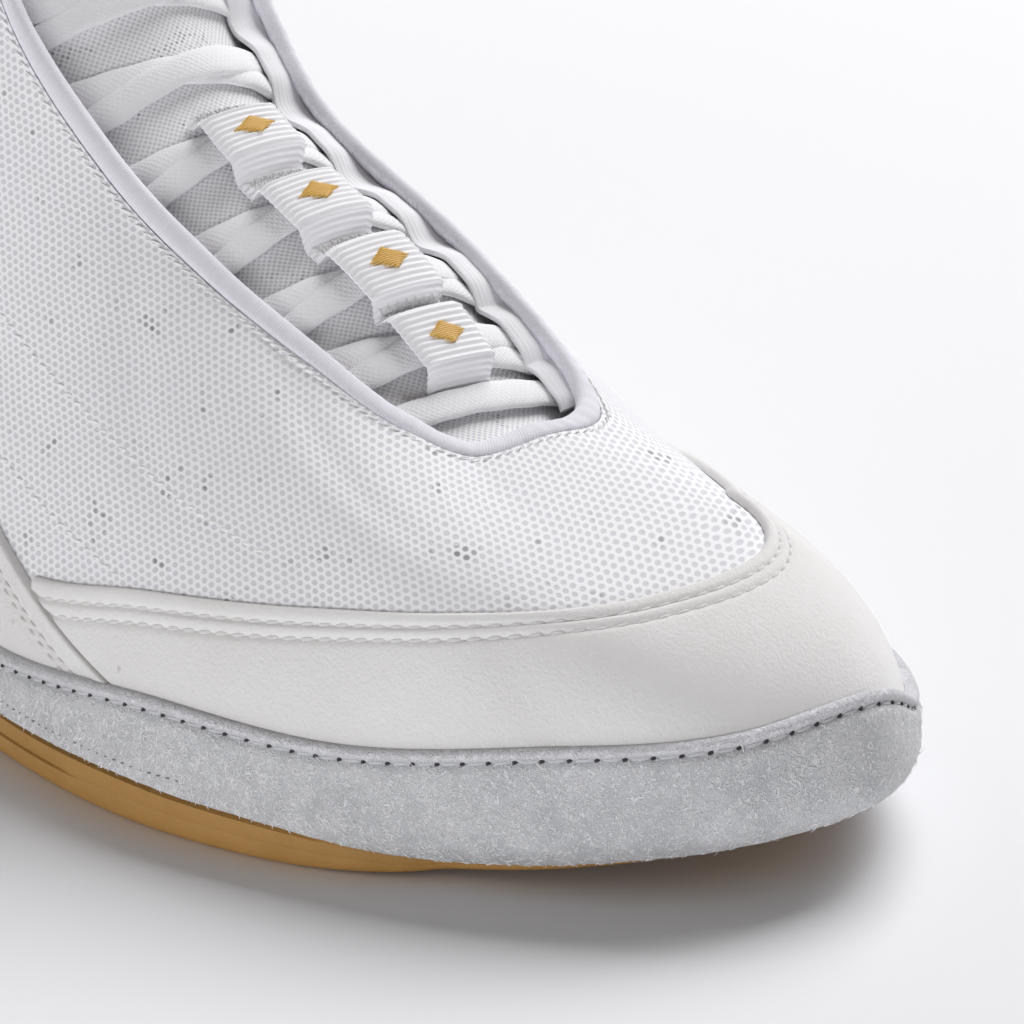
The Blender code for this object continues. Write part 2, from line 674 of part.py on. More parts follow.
strand("lace_bar", BAR_AT, BAR_AT, 0.0)
for i, v in enumerate(ROWS_AT):
    high = SPREAD + LACE_TILT
    low = SPREAD - LACE_TILT
    under_strand = strand("lace_cross_%d" % (i + 1), v + high, v - high, 0.0)
    top_strand = strand("strand", v - low, v + low, LACE_THICK - 0.25)
    boolean(under_strand, [top_strand], "UNION")


# Lace keeper: centre webbing, stitched down between its four loops over the crossings
LOOPS = ROWS_AT[:LOOP_ROWS]


def ribbon(name, v, w_mid, wide, lift, thick, columns):
    """A strip along the throat at the share w_mid across, wide and thick in millimetres."""
    a, b, _ = across(np.asarray(v), np.full(len(v), 0.5))
    span = np.linalg.norm(b - a, axis=1) * 1.08
    half = wide / 2 / span
    w = w_mid + np.linspace(-1.0, 1.0, columns)[None, :] * half[:, None]
    vv = np.repeat(np.asarray(v)[:, None], columns, axis=1)
    ll = np.repeat(np.asarray(lift)[:, None], columns, axis=1)
    return shell(name, over_tongue(vv, w, ll + thick), over_tongue(vv, w, ll), False)


def arches(v, places_up, flat, foot, rise):
    lift = np.full(len(v), GAP)
    for at in places_up:
        lift = np.maximum(lift, GAP + rise * (1 - ease(np.abs(v - at), flat, foot)))
    return lift


def arch_places(places_up, flat, foot, start, end):
    v = [start]
    for at in places_up:
        v += [at - foot, at - (flat + foot) / 2, at - flat, at + flat, at + (flat + foot) / 2, at + foot]
    v = np.array(sorted(at for at in v + [end] if start <= at <= end))
    return v[np.concatenate([[True], np.diff(v) > 0.4])]


v = arch_places(LOOPS, LOOP_FLAT, LOOP_FOOT, BAR_AT + LACE_WIDE / 2 + 0.6, LOOPS[-1] + KEEPER_TAIL)
ribbon("lace_keeper", v, 0.5, WEB_WIDE, arches(v, LOOPS, LOOP_FLAT, LOOP_FOOT, LOOP_RISE), WEB_THICK, 4)

# Lace tape: a narrow webbing along the inner edge of the throat, with an opening for each row
passes = (BAR_AT,) + ROWS_AT
v = arch_places(passes, TAPE_FLAT, TAPE_FOOT, 1.0, tape_end)
lift = arches(v, passes, TAPE_FLAT, TAPE_FOOT, TAPE_RISE)
ribbon("lace_tape", v, TAPE_AT, TAPE_WIDE, lift, TAPE_THICK, 2)


# Looks: one material for each kind of stuff, as colour and roughness
STUFFS = {
    "open_mesh": ((0.82, 0.82, 0.85), 0.85),
    "fine_mesh": ((0.88, 0.88, 0.91), 0.85),
    "suede": ((0.86, 0.85, 0.82), 0.90),
    "hairy_suede": ((0.76, 0.77, 0.79), 0.95),
    "gum_rubber": ((0.60, 0.42, 0.24), 0.55),
    "webbing": ((0.88, 0.88, 0.90), 0.80),
    "lace": ((0.90, 0.90, 0.91), 0.80),
    "foam": ((0.80, 0.80, 0.82), 0.90),
}
MADE_OF = {
    "upper": "open_mesh", "tongue": "fine_mesh", "insole": "foam", "outsole": "gum_rubber",
    "rand": "hairy_suede", "mudguard": "suede", "saddle_outer": "suede", "saddle_inner": "suede",
    "heel_counter": "suede", "throat_binding": "webbing", "lace_keeper": "webbing", "lace_tape": "webbing",
}


def stuff(name):
    colour, rough = STUFFS[name]
    mat = bpy.data.materials.new(name)
    mat.use_nodes = True
    bsdf = mat.node_tree.nodes["Principled BSDF"]
    bsdf.inputs["Base Color"].default_value = colour + (1.0,)
    bsdf.inputs["Roughness"].default_value = rough
    bsdf.inputs["Metallic"].default_value = 0.0
    return mat


MATERIALS = {name: stuff(name) for name in STUFFS}
for obj in SHOE.objects:
    obj.data.materials.clear()
    obj.data.materials.append(MATERIALS[MADE_OF.get(obj.name, "lace")])
    obj.data.shade_smooth()
    obj.data.set_sharp_from_angle(angle=math.radians(35))
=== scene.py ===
"""Looks of a wrestling shoe for the right foot: white open mesh, cream suede, pale hairy suede, gum sole.

Sizes are in millimetres and become metres where a mesh is made.
+X points to the toe, +Y to the big toe side, +Z up, and the tread stands on z = 0.
"""
import math

import bmesh
import bpy
import numpy as np
from mathutils import Matrix, Vector, noise


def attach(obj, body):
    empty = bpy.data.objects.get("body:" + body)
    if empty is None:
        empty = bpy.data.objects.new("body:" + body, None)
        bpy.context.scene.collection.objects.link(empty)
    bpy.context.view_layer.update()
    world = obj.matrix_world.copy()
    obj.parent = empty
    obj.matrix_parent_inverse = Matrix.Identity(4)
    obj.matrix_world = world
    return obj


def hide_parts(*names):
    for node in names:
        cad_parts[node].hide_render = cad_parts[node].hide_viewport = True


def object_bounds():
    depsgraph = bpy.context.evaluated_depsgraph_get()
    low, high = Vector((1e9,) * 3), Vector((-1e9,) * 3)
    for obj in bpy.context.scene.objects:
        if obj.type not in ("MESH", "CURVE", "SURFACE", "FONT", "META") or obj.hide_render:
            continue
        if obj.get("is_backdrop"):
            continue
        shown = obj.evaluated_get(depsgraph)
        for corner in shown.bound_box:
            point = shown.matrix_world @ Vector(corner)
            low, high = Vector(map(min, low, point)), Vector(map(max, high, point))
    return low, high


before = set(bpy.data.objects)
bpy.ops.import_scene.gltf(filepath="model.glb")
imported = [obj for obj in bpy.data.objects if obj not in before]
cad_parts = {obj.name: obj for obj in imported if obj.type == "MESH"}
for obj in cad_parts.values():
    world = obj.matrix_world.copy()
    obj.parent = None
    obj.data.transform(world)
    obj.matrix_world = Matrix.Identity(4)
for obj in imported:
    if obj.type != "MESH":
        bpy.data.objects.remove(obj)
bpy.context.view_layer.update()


# Upper
# One cut of open hexagonal mesh pulled over the last, turned under at the foot and closed by the sole.
# It is a single knitted polyester cloth with a soft lining, padded round the ankle.
LAST_LENGTH = 278.0
BALL_WIDTH = 97.0
COLLAR_HEIGHT = 150.0
TOE_SPRING = 8.0
EDGE_LIFT = 4.5
MARGIN = 12.0
CORNER = 5.0
CORNER_UP = 0.12
CORNER_WALL = 0.07
GAP = 0.3
MESH_WALL = 1.6
PAD = 3.2
CENTRE = np.array([138.05, -5.5, 0.0])

# The last, one row for each station from the toe tip round the outer side and back along the inner side.
# Foot edge: along (of the length), across (of the ball width), spring (of the toe spring).
# Top line: along, across, height (of the collar height).
# Wall: lean and roll (of the ball width), rise and drop (of the collar height).
# Bands up the wall: where the rand starts and ends, and where the mudguard ends.
COLUMNS = ("along across spring top_along top_across top_height "
           "lean rise roll drop rand_low rand_top guard_top").split()
LAST = {
    "toe_tip": (0.990, 0.055, 1.00, 0.742, 0.045, 0.358, 0.03, 0.20, 0.37, 0.06, -0.70, 0.26, 0.60),
    "toe_outer": (0.976, -0.125, 0.85, 0.738, -0.078, 0.354, 0.04, 0.21, 0.38, 0.06, -0.65, 0.25, 0.58),
    "toe_side": (0.908, -0.320, 0.44, 0.707, -0.174, 0.386, 0.03, 0.20, 0.30, 0.07, -0.35, 0.26, 0.54),
    "ball_front": (0.802, -0.468, 0.10, 0.645, -0.212, 0.435, 0.03, 0.17, 0.21, 0.08, -0.02, 0.25, 0.49),
    "ball_outer": (0.660, -0.560, 0.00, 0.570, -0.232, 0.490, 0.03, 0.155, 0.15, 0.10, 0.08, 0.26, 0.43),
    "waist_front": (0.512, -0.522, 0.02, 0.488, -0.240, 0.570, 0.03, 0.16, 0.12, 0.14, 0.08, 0.21, 0.35),
    "waist_outer": (0.400, -0.430, 0.15, 0.417, -0.236, 0.675, 0.03, 0.20, 0.12, 0.20, 0.08, 0.18, 0.36),
    "heel_front_outer": (0.280, -0.370, 0.10, 0.363, -0.232, 0.830, 0.04, 0.26, 0.14, 0.30, 0.08, 0.15, 0.36),
    "ankle_outer": (0.190, -0.348, 0.02, 0.315, -0.262, 0.985, 0.05, 0.30, 0.13, 0.38, 0.08, 0.14, 0.36),
    "heel_outer": (0.105, -0.318, 0.00, 0.215, -0.325, 1.030, 0.06, 0.32, 0.08, 0.40, 0.08, 0.14, 0.36),
    "heel_back_outer": (0.030, -0.205, 0.00, 0.095, -0.235, 0.975, 0.06, 0.30, -0.02, 0.40, 0.08, 0.15, 0.38),
    "heel_back": (0.000, 0.000, 0.00, 0.052, 0.000, 0.940, 0.06, 0.28, -0.06, 0.40, 0.08, 0.16, 0.40),
    "heel_back_inner": (0.030, 0.205, 0.00, 0.095, 0.235, 0.975, 0.06, 0.30, -0.02, 0.40, 0.08, 0.15, 0.38),
    "heel_inner": (0.105, 0.315, 0.00, 0.215, 0.325, 1.030, 0.06, 0.32, 0.08, 0.40, 0.08, 0.14, 0.36),
    "ankle_inner": (0.190, 0.330, 0.02, 0.315, 0.262, 0.985, 0.05, 0.30, 0.13, 0.38, 0.08, 0.14, 0.36),
    "heel_front_inner": (0.285, 0.315, 0.10, 0.363, 0.236, 0.830, 0.04, 0.27, 0.14, 0.30, 0.08, 0.15, 0.36),
    "arch": (0.425, 0.260, 0.20, 0.425, 0.240, 0.675, 0.03, 0.24, 0.12, 0.20, 0.08, 0.18, 0.36),
    "waist_front_inner": (0.565, 0.336, 0.05, 0.493, 0.220, 0.562, 0.03, 0.20, 0.12, 0.14, 0.07, 0.22, 0.39),
    "ball_inner": (0.710, 0.440, 0.00, 0.612, 0.236, 0.462, 0.03, 0.19, 0.14, 0.11, 0.03, 0.23, 0.50),
    "toe_side_inner": (0.868, 0.400, 0.34, 0.712, 0.222, 0.359, 0.01, 0.18, 0.19, 0.125, -0.35, 0.22, 0.66),
    "toe_inner": (0.950, 0.232, 0.75, 0.739, 0.145, 0.351, 0.02, 0.176, 0.28, 0.085, -0.65, 0.20, 0.74),
}
STATIONS = list(LAST)
ROWS = np.array([LAST[name] for name in STATIONS])


def station_knots():
    """Place each station round the foot edge: 0 is the toe tip and 0.5 the back of the heel."""
    plan = ROWS[:, :2] * [LAST_LENGTH, BALL_WIDTH]
    step = np.linalg.norm(np.roll(plan, -1, 0) - plan, axis=1)
    heel = STATIONS.index("heel_back")
    outer = np.concatenate([[0.0], np.cumsum(step[:heel])])
    inner = np.concatenate([[0.0], np.cumsum(step[heel:])])
    return np.concatenate([0.5 * outer / outer[-1], 0.5 + 0.5 * inner[1:-1] / inner[-1]])


KNOTS = station_knots()


def knot(name):
    return float(KNOTS[STATIONS.index(name)])


def spline(k, r, u):
    """A smooth curve through the rows r at the knots k, read at the places u."""
    h = np.diff(k)[:, None]
    d = np.diff(r, axis=0) / h
    m = np.concatenate([d[:1], (d[:-1] * h[1:] + d[1:] * h[:-1]) / (h[1:] + h[:-1]), d[-1:]])
    i = np.searchsorted(k, u, side="right") - 1
    w = (k[i + 1] - k[i])[:, None]
    t = ((u - k[i]) / w[:, 0])[:, None]
    start = (2 * t ** 3 - 3 * t ** 2 + 1) * r[i] + (t ** 3 - 2 * t ** 2 + t) * w * m[i]
    end = (3 * t ** 2 - 2 * t ** 3) * r[i + 1] + (t ** 3 - t ** 2) * w * m[i + 1]
    return start + end


def round_foot(u, rows=ROWS):
    """Values of the last's columns at the places u round the foot, as a closed curve."""
    k = np.concatenate([KNOTS - 1, KNOTS, KNOTS + 1])
    return spline(k, np.concatenate([rows] * 3), np.asarray(u, float) % 1.0)


def frame_at(u):
    """Foot edge, plan normal and the four control points of the wall at each place u."""
    r = round_foot(u)
    edge = np.stack([r[:, 0] * LAST_LENGTH, r[:, 1] * BALL_WIDTH, EDGE_LIFT + TOE_SPRING * r[:, 2]], 1)
    e = 1e-3
    ahead = round_foot(np.asarray(u) + e, ROWS[:, :2]) * [LAST_LENGTH, BALL_WIDTH]
    behind = round_foot(np.asarray(u) - e, ROWS[:, :2]) * [LAST_LENGTH, BALL_WIDTH]
    g = ahead - behind
    out = np.stack([-g[:, 1], g[:, 0], 0 * g[:, 0]], 1)
    out /= np.linalg.norm(out, axis=1)[:, None]
    top = np.stack([r[:, 3] * LAST_LENGTH, r[:, 4] * BALL_WIDTH, r[:, 5] * COLLAR_HEIGHT], 1)
    up = np.array([0.0, 0.0, 1.0])
    low = edge + out * r[:, 6:7] * BALL_WIDTH + up * r[:, 7:8] * COLLAR_HEIGHT
    high = top + out * r[:, 8:9] * BALL_WIDTH - up * r[:, 9:10] * COLLAR_HEIGHT
    return edge, out, low, high, top


def skin(u, s):
    """Points of the last's skin: u has one value a row, s runs from -1 (margin) to 1 (top line)."""
    edge, out, low, high, top = (v[:, None] for v in frame_at(u))

    def wall(t):
        t = t[..., None]
        return ((1 - t) ** 3 * edge + 3 * t * (1 - t) ** 2 * low
                + 3 * t ** 2 * (1 - t) * high + t ** 3 * top)

    c = CORNER_UP
    t = CORNER_WALL + (s - c) / (1 - c) * (1 - CORNER_WALL)
    side = wall(np.clip(t, CORNER_WALL, 1))
    m = np.clip((-s - c) / (1 - c), 0, 1)[..., None]
    under = edge - out * (CORNER + m * (MARGIN - CORNER))
    q = np.clip((s + c) / (2 * c), 0, 1)[..., None]
    start = edge - out * CORNER
    end = wall(np.full(s.shape[:1] + (1,), CORNER_WALL))
    corner = (1 - q) ** 2 * start + 2 * q * (1 - q) * edge + q ** 2 * end
    return np.where((s > c)[..., None], side, np.where((s < -c)[..., None], under, corner))


def unit(v):
    return v / np.maximum(np.linalg.norm(v, axis=-1, keepdims=True), 1e-9)


def normals(u, s):
    e = 2e-3
    du = skin(u + e, s) - skin(u - e, s)
    ds = skin(u, np.minimum(s + e, 1.0)) - skin(u, np.maximum(s - e, -1.0))
    return unit(np.cross(ds, du))


def layer(u, s, off):
    """The skin moved outwards by off millimetres, or inwards if negative; u is a list or a grid like s."""
    s = np.asarray(s, float)
    u = np.asarray(u, float)
    if u.ndim == 1:
        u = u[:, None]
    u, s, off = np.broadcast_arrays(u, s, np.asarray(off, float))
    flat_u = u.reshape(-1)
    flat_s = s.reshape(-1, 1)
    moved = skin(flat_u, flat_s) + normals(flat_u, flat_s) * off.reshape(-1, 1, 1)
    return moved.reshape(s.shape + (3,))


def ease(x, start, end):
    t = np.clip((x - start) / (end - start), 0, 1)
    return t * t * (3 - 2 * t)


def run_of(points):
    """The length along a line of points, from its start."""
    return np.concatenate([[0.0], np.cumsum(np.linalg.norm(np.diff(points, axis=0), axis=1))])


def upper_wall(u, s):
    """Wall thickness: the mesh, thicker round the ankle where the collar is padded."""
    u = np.asarray(u)[:, None]
    around = ease(u, 0.30, 0.38) * (1 - ease(u, 0.62, 0.70))
    up = ease(s, 0.55, 0.8) * (1 - 0.6 * ease(s, 0.92, 1.0))
    return MESH_WALL + PAD * around * up


# Soft troughs and ridges of the lasted cloth.
# Place and height are on the last, sizes in millimetres and turns in degrees.
CREASES = {
    "vamp_pull":      dict(u=0.100, s=0.86, long=26, wide=5.0, turn=35, deep=-0.45),
    "vamp_swell":     dict(u=0.118, s=0.78, long=24, wide=6.0, turn=30, deep=0.40),
    "front_pucker":   dict(u=0.030, s=0.93, long=10, wide=3.0, turn=80, deep=-0.35),
    "front_swell":    dict(u=0.052, s=0.90, long=12, wide=4.0, turn=70, deep=0.35),
    "flex_outer":     dict(u=0.200, s=0.72, long=30, wide=6.0, turn=60, deep=-0.60),
    "flex_inner":     dict(u=0.820, s=0.74, long=30, wide=6.0, turn=-60, deep=-0.60),
    "ankle_outer":    dict(u=0.330, s=0.66, long=42, wide=7.0, turn=12, deep=-0.90),
    "ankle_inner":    dict(u=0.672, s=0.66, long=42, wide=7.0, turn=-12, deep=-0.90),
    "ankle_outer_up": dict(u=0.352, s=0.80, long=34, wide=6.0, turn=6, deep=-0.70),
    "ankle_inner_up": dict(u=0.650, s=0.80, long=34, wide=6.0, turn=-6, deep=-0.70),
    "tendon":         dict(u=0.500, s=0.78, long=46, wide=10.0, turn=0, deep=-0.80),
}
PLACE_LENGTH = 560.0
WALL_LENGTH = 95.0


def creased(u, s):
    """How far the cloth's soft creases move it, in millimetres."""
    moved = np.zeros(np.broadcast(u, s).shape)
    for c in CREASES.values():
        x = (u - c["u"]) * PLACE_LENGTH
        y = (s - c["s"]) * WALL_LENGTH
        turn = math.radians(c["turn"])
        p = x * math.cos(turn) + y * math.sin(turn)
        q = y * math.cos(turn) - x * math.sin(turn)
        moved = moved + c["deep"] * np.exp(-(p / c["long"]) ** 2 - (q / c["wide"]) ** 2)
    return moved * ease(s, 0.5, 0.62)


def grid_faces(n, m, base=0):
    index = base + np.arange(n * m).reshape(n, m)
    return np.stack([index[:-1, :-1], index[1:, :-1], index[1:, 1:], index[:-1, 1:]], -1).reshape(-1, 4)


def sheet(outer, inner, uv, ring=False):
    """A closed sheet between two grids of points: its points, faces and uv, and 1 for each inner face."""
    n, m = outer.shape[:2]
    size = n * m
    front = grid_faces(n, m)
    back = grid_faces(n, m, size)[:, ::-1]
    index = np.arange(size).reshape(n, m)
    edges = [(index[:-1, 0], index[1:, 0]), (index[1:, -1], index[:-1, -1])]
    if not ring:
        edges += [(index[0, 1:], index[0, :-1]), (index[-1, :-1], index[-1, 1:])]
    rims = [np.stack([a, a + size, b + size, b], -1) for a, b in edges]
    faces = np.concatenate([front, back] + rims)
    which = np.zeros(len(faces), int)
    which[len(front):len(front) + len(back)] = 1
    points = np.concatenate([outer.reshape(-1, 3), inner.reshape(-1, 3)])
    return points, faces, np.concatenate([uv.reshape(-1, 2)] * 2), which


def piece(name, points, faces, uv, finishes, nodes=(), which=None, sharp=50.0):
    """Make one piece of the shoe from points in millimetres, with its cloth coordinates in millimetres."""
    mesh = bpy.data.meshes.new(name)
    metres = (np.asarray(points) - CENTRE) * 0.001
    mesh.from_pydata(metres.tolist(), [], faces if isinstance(faces, list) else faces.tolist())
    corner = np.empty(len(mesh.loops), dtype=int)
    mesh.loops.foreach_get("vertex_index", corner)
    mesh.uv_layers.new(name="cloth").data.foreach_set("uv", np.asarray(uv, float)[corner].ravel())
    for finish in finishes:
        mesh.materials.append(finish)
    if which is not None:
        mesh.polygons.foreach_set("material_index", np.asarray(which, int))
    bm = bmesh.new()
    bm.from_mesh(mesh)
    bmesh.ops.remove_doubles(bm, verts=bm.verts, dist=1e-6)
    bmesh.ops.recalc_face_normals(bm, faces=bm.faces)
    bm.to_mesh(mesh)
    bm.free()
    mesh.shade_smooth()
    mesh.set_sharp_from_angle(angle=math.radians(sharp))
    obj = bpy.data.objects.new(name, mesh)
    bpy.context.scene.collection.objects.link(obj)
    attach(obj, "root")
    if nodes:
        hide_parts(*nodes)
    return obj


def ink(code):
    """An sRGB hex colour as linear light."""
    part = [int(code[i:i + 2], 16) / 255 for i in (1, 3, 5)]
    return [c / 12.92 if c <= 0.04045 else ((c + 0.055) / 1.055) ** 2.4 for c in part] + [1.0]


def add(tree, kind, inputs=None, **settings):
    """Add a shader node with its settings, and join or set its inputs."""
    node = tree.nodes.new("ShaderNode" + kind)
    for key, value in settings.items():
        setattr(node, key, value)
    for key, value in (inputs or {}).items():
        if isinstance(value, bpy.types.NodeSocket):
            tree.links.new(value, node.inputs[key])
        else:
            node.inputs[key].default_value = value
    return node


def stuff(name, colour, rough, sheen=0.0, ior=1.5):
    """A material of one stuff, with its shader ready for its pattern."""
    mat = bpy.data.materials.new(name)
    mat.use_nodes = True
    mat.diffuse_color = ink(colour)
    shader = mat.node_tree.nodes["Principled BSDF"]
    shader.inputs["Base Color"].default_value = ink(colour)
    shader.inputs["Roughness"].default_value = rough
    shader.inputs["IOR"].default_value = ior
    shader.inputs["Metallic"].default_value = 0.0
    shader.inputs["Sheen Weight"].default_value = sheen
    return mat, mat.node_tree, shader


def cloth_place(tree):
    """Millimetres along and across the cloth."""
    return add(tree, "UVMap", uv_map="cloth").outputs["UV"]


def maths(tree, operation, *values):
    """One step of arithmetic on numbers."""
    return add(tree, "Math", dict(enumerate(values)), operation=operation).outputs[0]


def vectors(tree, operation, *values):
    """One step of arithmetic on vectors."""
    return add(tree, "VectorMath", dict(enumerate(values)), operation=operation).outputs[0]


def ramp(tree, value, low, high, start=0.0, end=1.0, easing="LINEAR"):
    """A value from low to high, turned into one from start to end."""
    spans = {"Value": value, "From Min": low, "From Max": high, "To Min": start, "To Max": end}
    return add(tree, "MapRange", spans, interpolation_type=easing).outputs[0]


def blend(tree, share, a, b):
    """Two colours mixed by a share."""
    return add(tree, "Mix", {"Factor": share, "A": a, "B": b}, data_type="RGBA").outputs[2]


def relief(tree, shader, height, strength, distance, **settings):
    """Fine relief of a surface; the distance is in metres."""
    bump = add(tree, "Bump", {"Height": height, "Strength": strength, "Distance": distance}, **settings)
    tree.links.new(bump.outputs[0], shader.inputs["Normal"])


def knitted(name, yarn, hole, deep, pitch, squash, open_share, clusters):
    """Knitted mesh with rows of holes. The knit is pitch wide. The holes show the lining's own tone with
    painted shade, and in scattered clusters a darker tone is painted shade of the shoe's dark inside.
    """
    mat, tree, shader = stuff(name, yarn, 0.82, sheen=0.15)
    cloth = cloth_place(tree)
    wobble = add(tree, "TexNoise", {"Vector": cloth, "Scale": 0.09, "Detail": 1.0})
    bend = vectors(tree, "SUBTRACT", wobble.outputs["Color"], (0.5, 0.5, 0.5))
    bent = vectors(tree, "MULTIPLY_ADD", bend, (1.2, 1.2, 0), cloth)
    wide = pitch * squash
    cells = []
    for shift, mark in (((0.5, 0.5, 0.0), 0.0), ((1.0, 1.0, 0.0), 977.0)):
        q = vectors(tree, "MULTIPLY_ADD", bent, (1 / wide, 1 / pitch, 0), shift)
        home = vectors(tree, "FLOOR", q)
        off = vectors(tree, "SUBTRACT", vectors(tree, "SUBTRACT", q, home), (0.5, 0.5, 0))
        real = vectors(tree, "MULTIPLY", off, (squash, 1, 0))
        length = add(tree, "VectorMath", {0: real}, operation="LENGTH").outputs["Value"]
        cells.append((length, vectors(tree, "ADD", home, (mark, mark, 0))))
    nearest = maths(tree, "MINIMUM", cells[0][0], cells[1][0])
    second = maths(tree, "LESS_THAN", cells[1][0], cells[0][0])
    cell = add(tree, "Mix", {"Factor": second, "A": cells[0][1], "B": cells[1][1]}, data_type="VECTOR")
    chance = add(tree, "TexWhiteNoise", {"Vector": cell.outputs["Result"]}, noise_dimensions="2D")
    opening = ramp(tree, nearest, open_share * 0.5, open_share, 1.0, 0.0, "SMOOTHSTEP")
    group = add(tree, "TexNoise", {"Vector": cloth, "Scale": 0.16, "Detail": 1.0})
    grouped = ramp(tree, group.outputs["Fac"], 1 - clusters - 0.06, 1 - clusters, easing="SMOOTHSTEP")
    # Painted shade: holes take the hole tone, and where the noise clusters fall the deep tone, for the shade
    # seen through the mesh
    painted_shade_share = maths(tree, "MULTIPLY", grouped, ramp(tree, chance.outputs["Value"], 0.3, 1.2))
    tone = blend(tree, painted_shade_share, ink(hole), ink(deep))
    uneven = add(tree, "TexNoise", {"Vector": cloth, "Scale": 0.05, "Detail": 3.0})
    paler = blend(tree, uneven.outputs["Fac"], ink(yarn), ink("#FFFFFF"))
    tree.links.new(blend(tree, opening, paler, tone), shader.inputs["Base Color"])
    strand = add(tree, "TexNoise", {"Vector": cloth, "Scale": 3.5, "Detail": 1.0})
    raised = maths(tree, "MULTIPLY_ADD", strand.outputs["Fac"], 0.25, 1.0)
    height = maths(tree, "SUBTRACT", raised, opening)
    relief(tree, shader, height, 0.3, 0.0003)
    return mat


# The holes stand in upright rows 1.3 mm apart, each row half a step from the next
open_mesh = knitted("knitted_polyester_mesh", "#F4F4F8", "#DBDBE1", "#6A686C",
                    pitch=1.32, squash=1.72, open_share=0.42, clusters=0.32)

# The lining is brushed polyester, a closer cloth without holes
lining, tree, shader = stuff("brushed_polyester_lining", "#DDDDE2", 0.95, sheen=0.3)
cloth = cloth_place(tree)
loops = add(tree, "TexVoronoi", {"Vector": cloth, "Scale": 1.4})
relief(tree, shader, loops.outputs["Distance"], 0.4, 0.0002)


# The knit's columns stand upright and are spread by the lasting, most of all over the toe
COLUMN_WAY = np.array([0.6457, 0.7636, 0.0])
ROW_WAY = np.array([-0.2538, 0.2147, 0.9431])


def knit_pull(u, s):
    """How far the cloth runs by its columns and its rows for each millimetre of skin, as two vectors."""
    toe = np.abs((u + 0.5) % 1.0 - 0.5)[..., None]
    columns = COLUMN_WAY * (1.0 + 1.15 * toe - 0.30 * s[..., None]) + ROW_WAY * (0.45 * toe - 0.04)
    rows = (ROW_WAY * (1.0 + 0.16 * (1 - ease(toe, 0.0, 0.1)))
            - COLUMN_WAY * 0.25 * (1 - ease(toe, 0.0, 0.06)))
    return columns, rows


def lasted_knit(u, s):
    """Cloth coordinates, in millimetres, that follow the knit's pull as closely as one sheet can."""
    points = layer(u, s, 0.0)
    n, m = points.shape[:2]
    round_way = unit(np.gradient(points, axis=0))
    up_way = unit(np.gradient(points, axis=1))
    near = (np.broadcast_to(u[:, None], (n, m)) + 0.5) % 1.0 - 0.5
    outer = (ease(near, -0.12, -0.06) * (1 - ease(near, 0.34, 0.40)))[..., None]
    columns, rows = knit_pull(near, s)
    pull = np.stack([outer * columns - (1 - outer) * round_way, outer * rows + (1 - outer) * up_way], -1)
    index = np.arange(n * m).reshape(n, m)
    ends = np.concatenate([np.stack([index[:-1].ravel(), index[1:].ravel()], 1),
                           np.stack([index[:, :-1].ravel(), index[:, 1:].ravel()], 1)])
    flat = points.reshape(-1, 3)
    step = flat[ends[:, 1]] - flat[ends[:, 0]]
    mean_pull = pull.reshape(-1, 3, 2)[ends].mean(1)
    want = np.einsum("ij,ijk->ik", step, mean_pull)
    weight = 1 / np.sum(step ** 2, axis=1)
    system = np.zeros((n * m, n * m))
    system[0, 0] = 1.0
    right = np.zeros((n * m, 2))
    a, b = ends.T
    for first, second in ((a, b), (b, a)):
        np.add.at(system, (first, first), weight)
        np.add.at(system, (first, second), -weight)
    np.add.at(right, b, want * weight[:, None])
    np.add.at(right, a, -want * weight[:, None])
    return np.linalg.solve(system, right).reshape(n, m, 2)


UPPER_PLACES = 300
KNIT_PLACES = 101
KNIT_ROWS = 24
u = np.linspace(0.5, 1.5, UPPER_PLACES + 1)
s_line = np.concatenate([np.linspace(-1, -CORNER_UP, 3), np.linspace(-CORNER_UP, CORNER_UP, 7)[1:],
                         np.linspace(CORNER_UP, 1, 56)[1:]])
s = np.broadcast_to(s_line, (len(u), len(s_line)))
coarse_u = np.linspace(0.5, 1.5, KNIT_PLACES)
coarse_line = np.linspace(-CORNER_UP, 1, KNIT_ROWS)
coarse = lasted_knit(coarse_u, np.broadcast_to(coarse_line, (KNIT_PLACES, KNIT_ROWS)))
uv = np.empty(s.shape + (2,))
for k in range(2):
    half_way = np.array([np.interp(s_line, coarse_line, row) for row in coarse[..., k]])
    uv[..., k] = np.array([np.interp(u, coarse_u, line) for line in half_way.T]).T
moved = creased(u[:, None] % 1.0, s)
points, faces, uv, which = sheet(layer(u, s, moved), layer(u, s, moved - upper_wall(u, s)), uv, ring=True)
piece("upper_mesh", points, faces, uv, [open_mesh, lining], ["upper"], which)


# Rand
# A band of pale grey split suede stitched round the foot of the wall and wrapped under the toe.
# Its long nap stands up in fine pale hairs; one row of coarse stitches sinks into it below the top edge.
RAND_THICK = 1.3
RAND_TURN = 2.2
PANEL_THICK = 1.1
ROUND_PLACES = 420
RAND_STITCH_DOWN = 2.1
RAND_REST = 30


def band(u, name):
    return round_foot(np.asarray(u).reshape(-1))[:, COLUMNS.index(name)].reshape(np.shape(u))


def rand_inner(s):
    """The rand lies on the overlays, and on the mesh where it wraps under."""
    return GAP + (GAP + PANEL_THICK) * ease(s, -0.05, 0.09)


def rand_outer(s):
    """Thicker where it turns under the toe."""
    return rand_inner(s) + RAND_THICK + (RAND_TURN - RAND_THICK) * (1 - ease(s, -0.1, 0.12))


def rise_at(u, s):
    """Millimetres of wall for each unit of s, near the places u and heights s."""
    e = 0.02
    a = skin(u, (s + e)[:, None])[:, 0]
    b = skin(u, (s - e)[:, None])[:, 0]
    return np.linalg.norm(a - b, axis=1) / (2 * e)


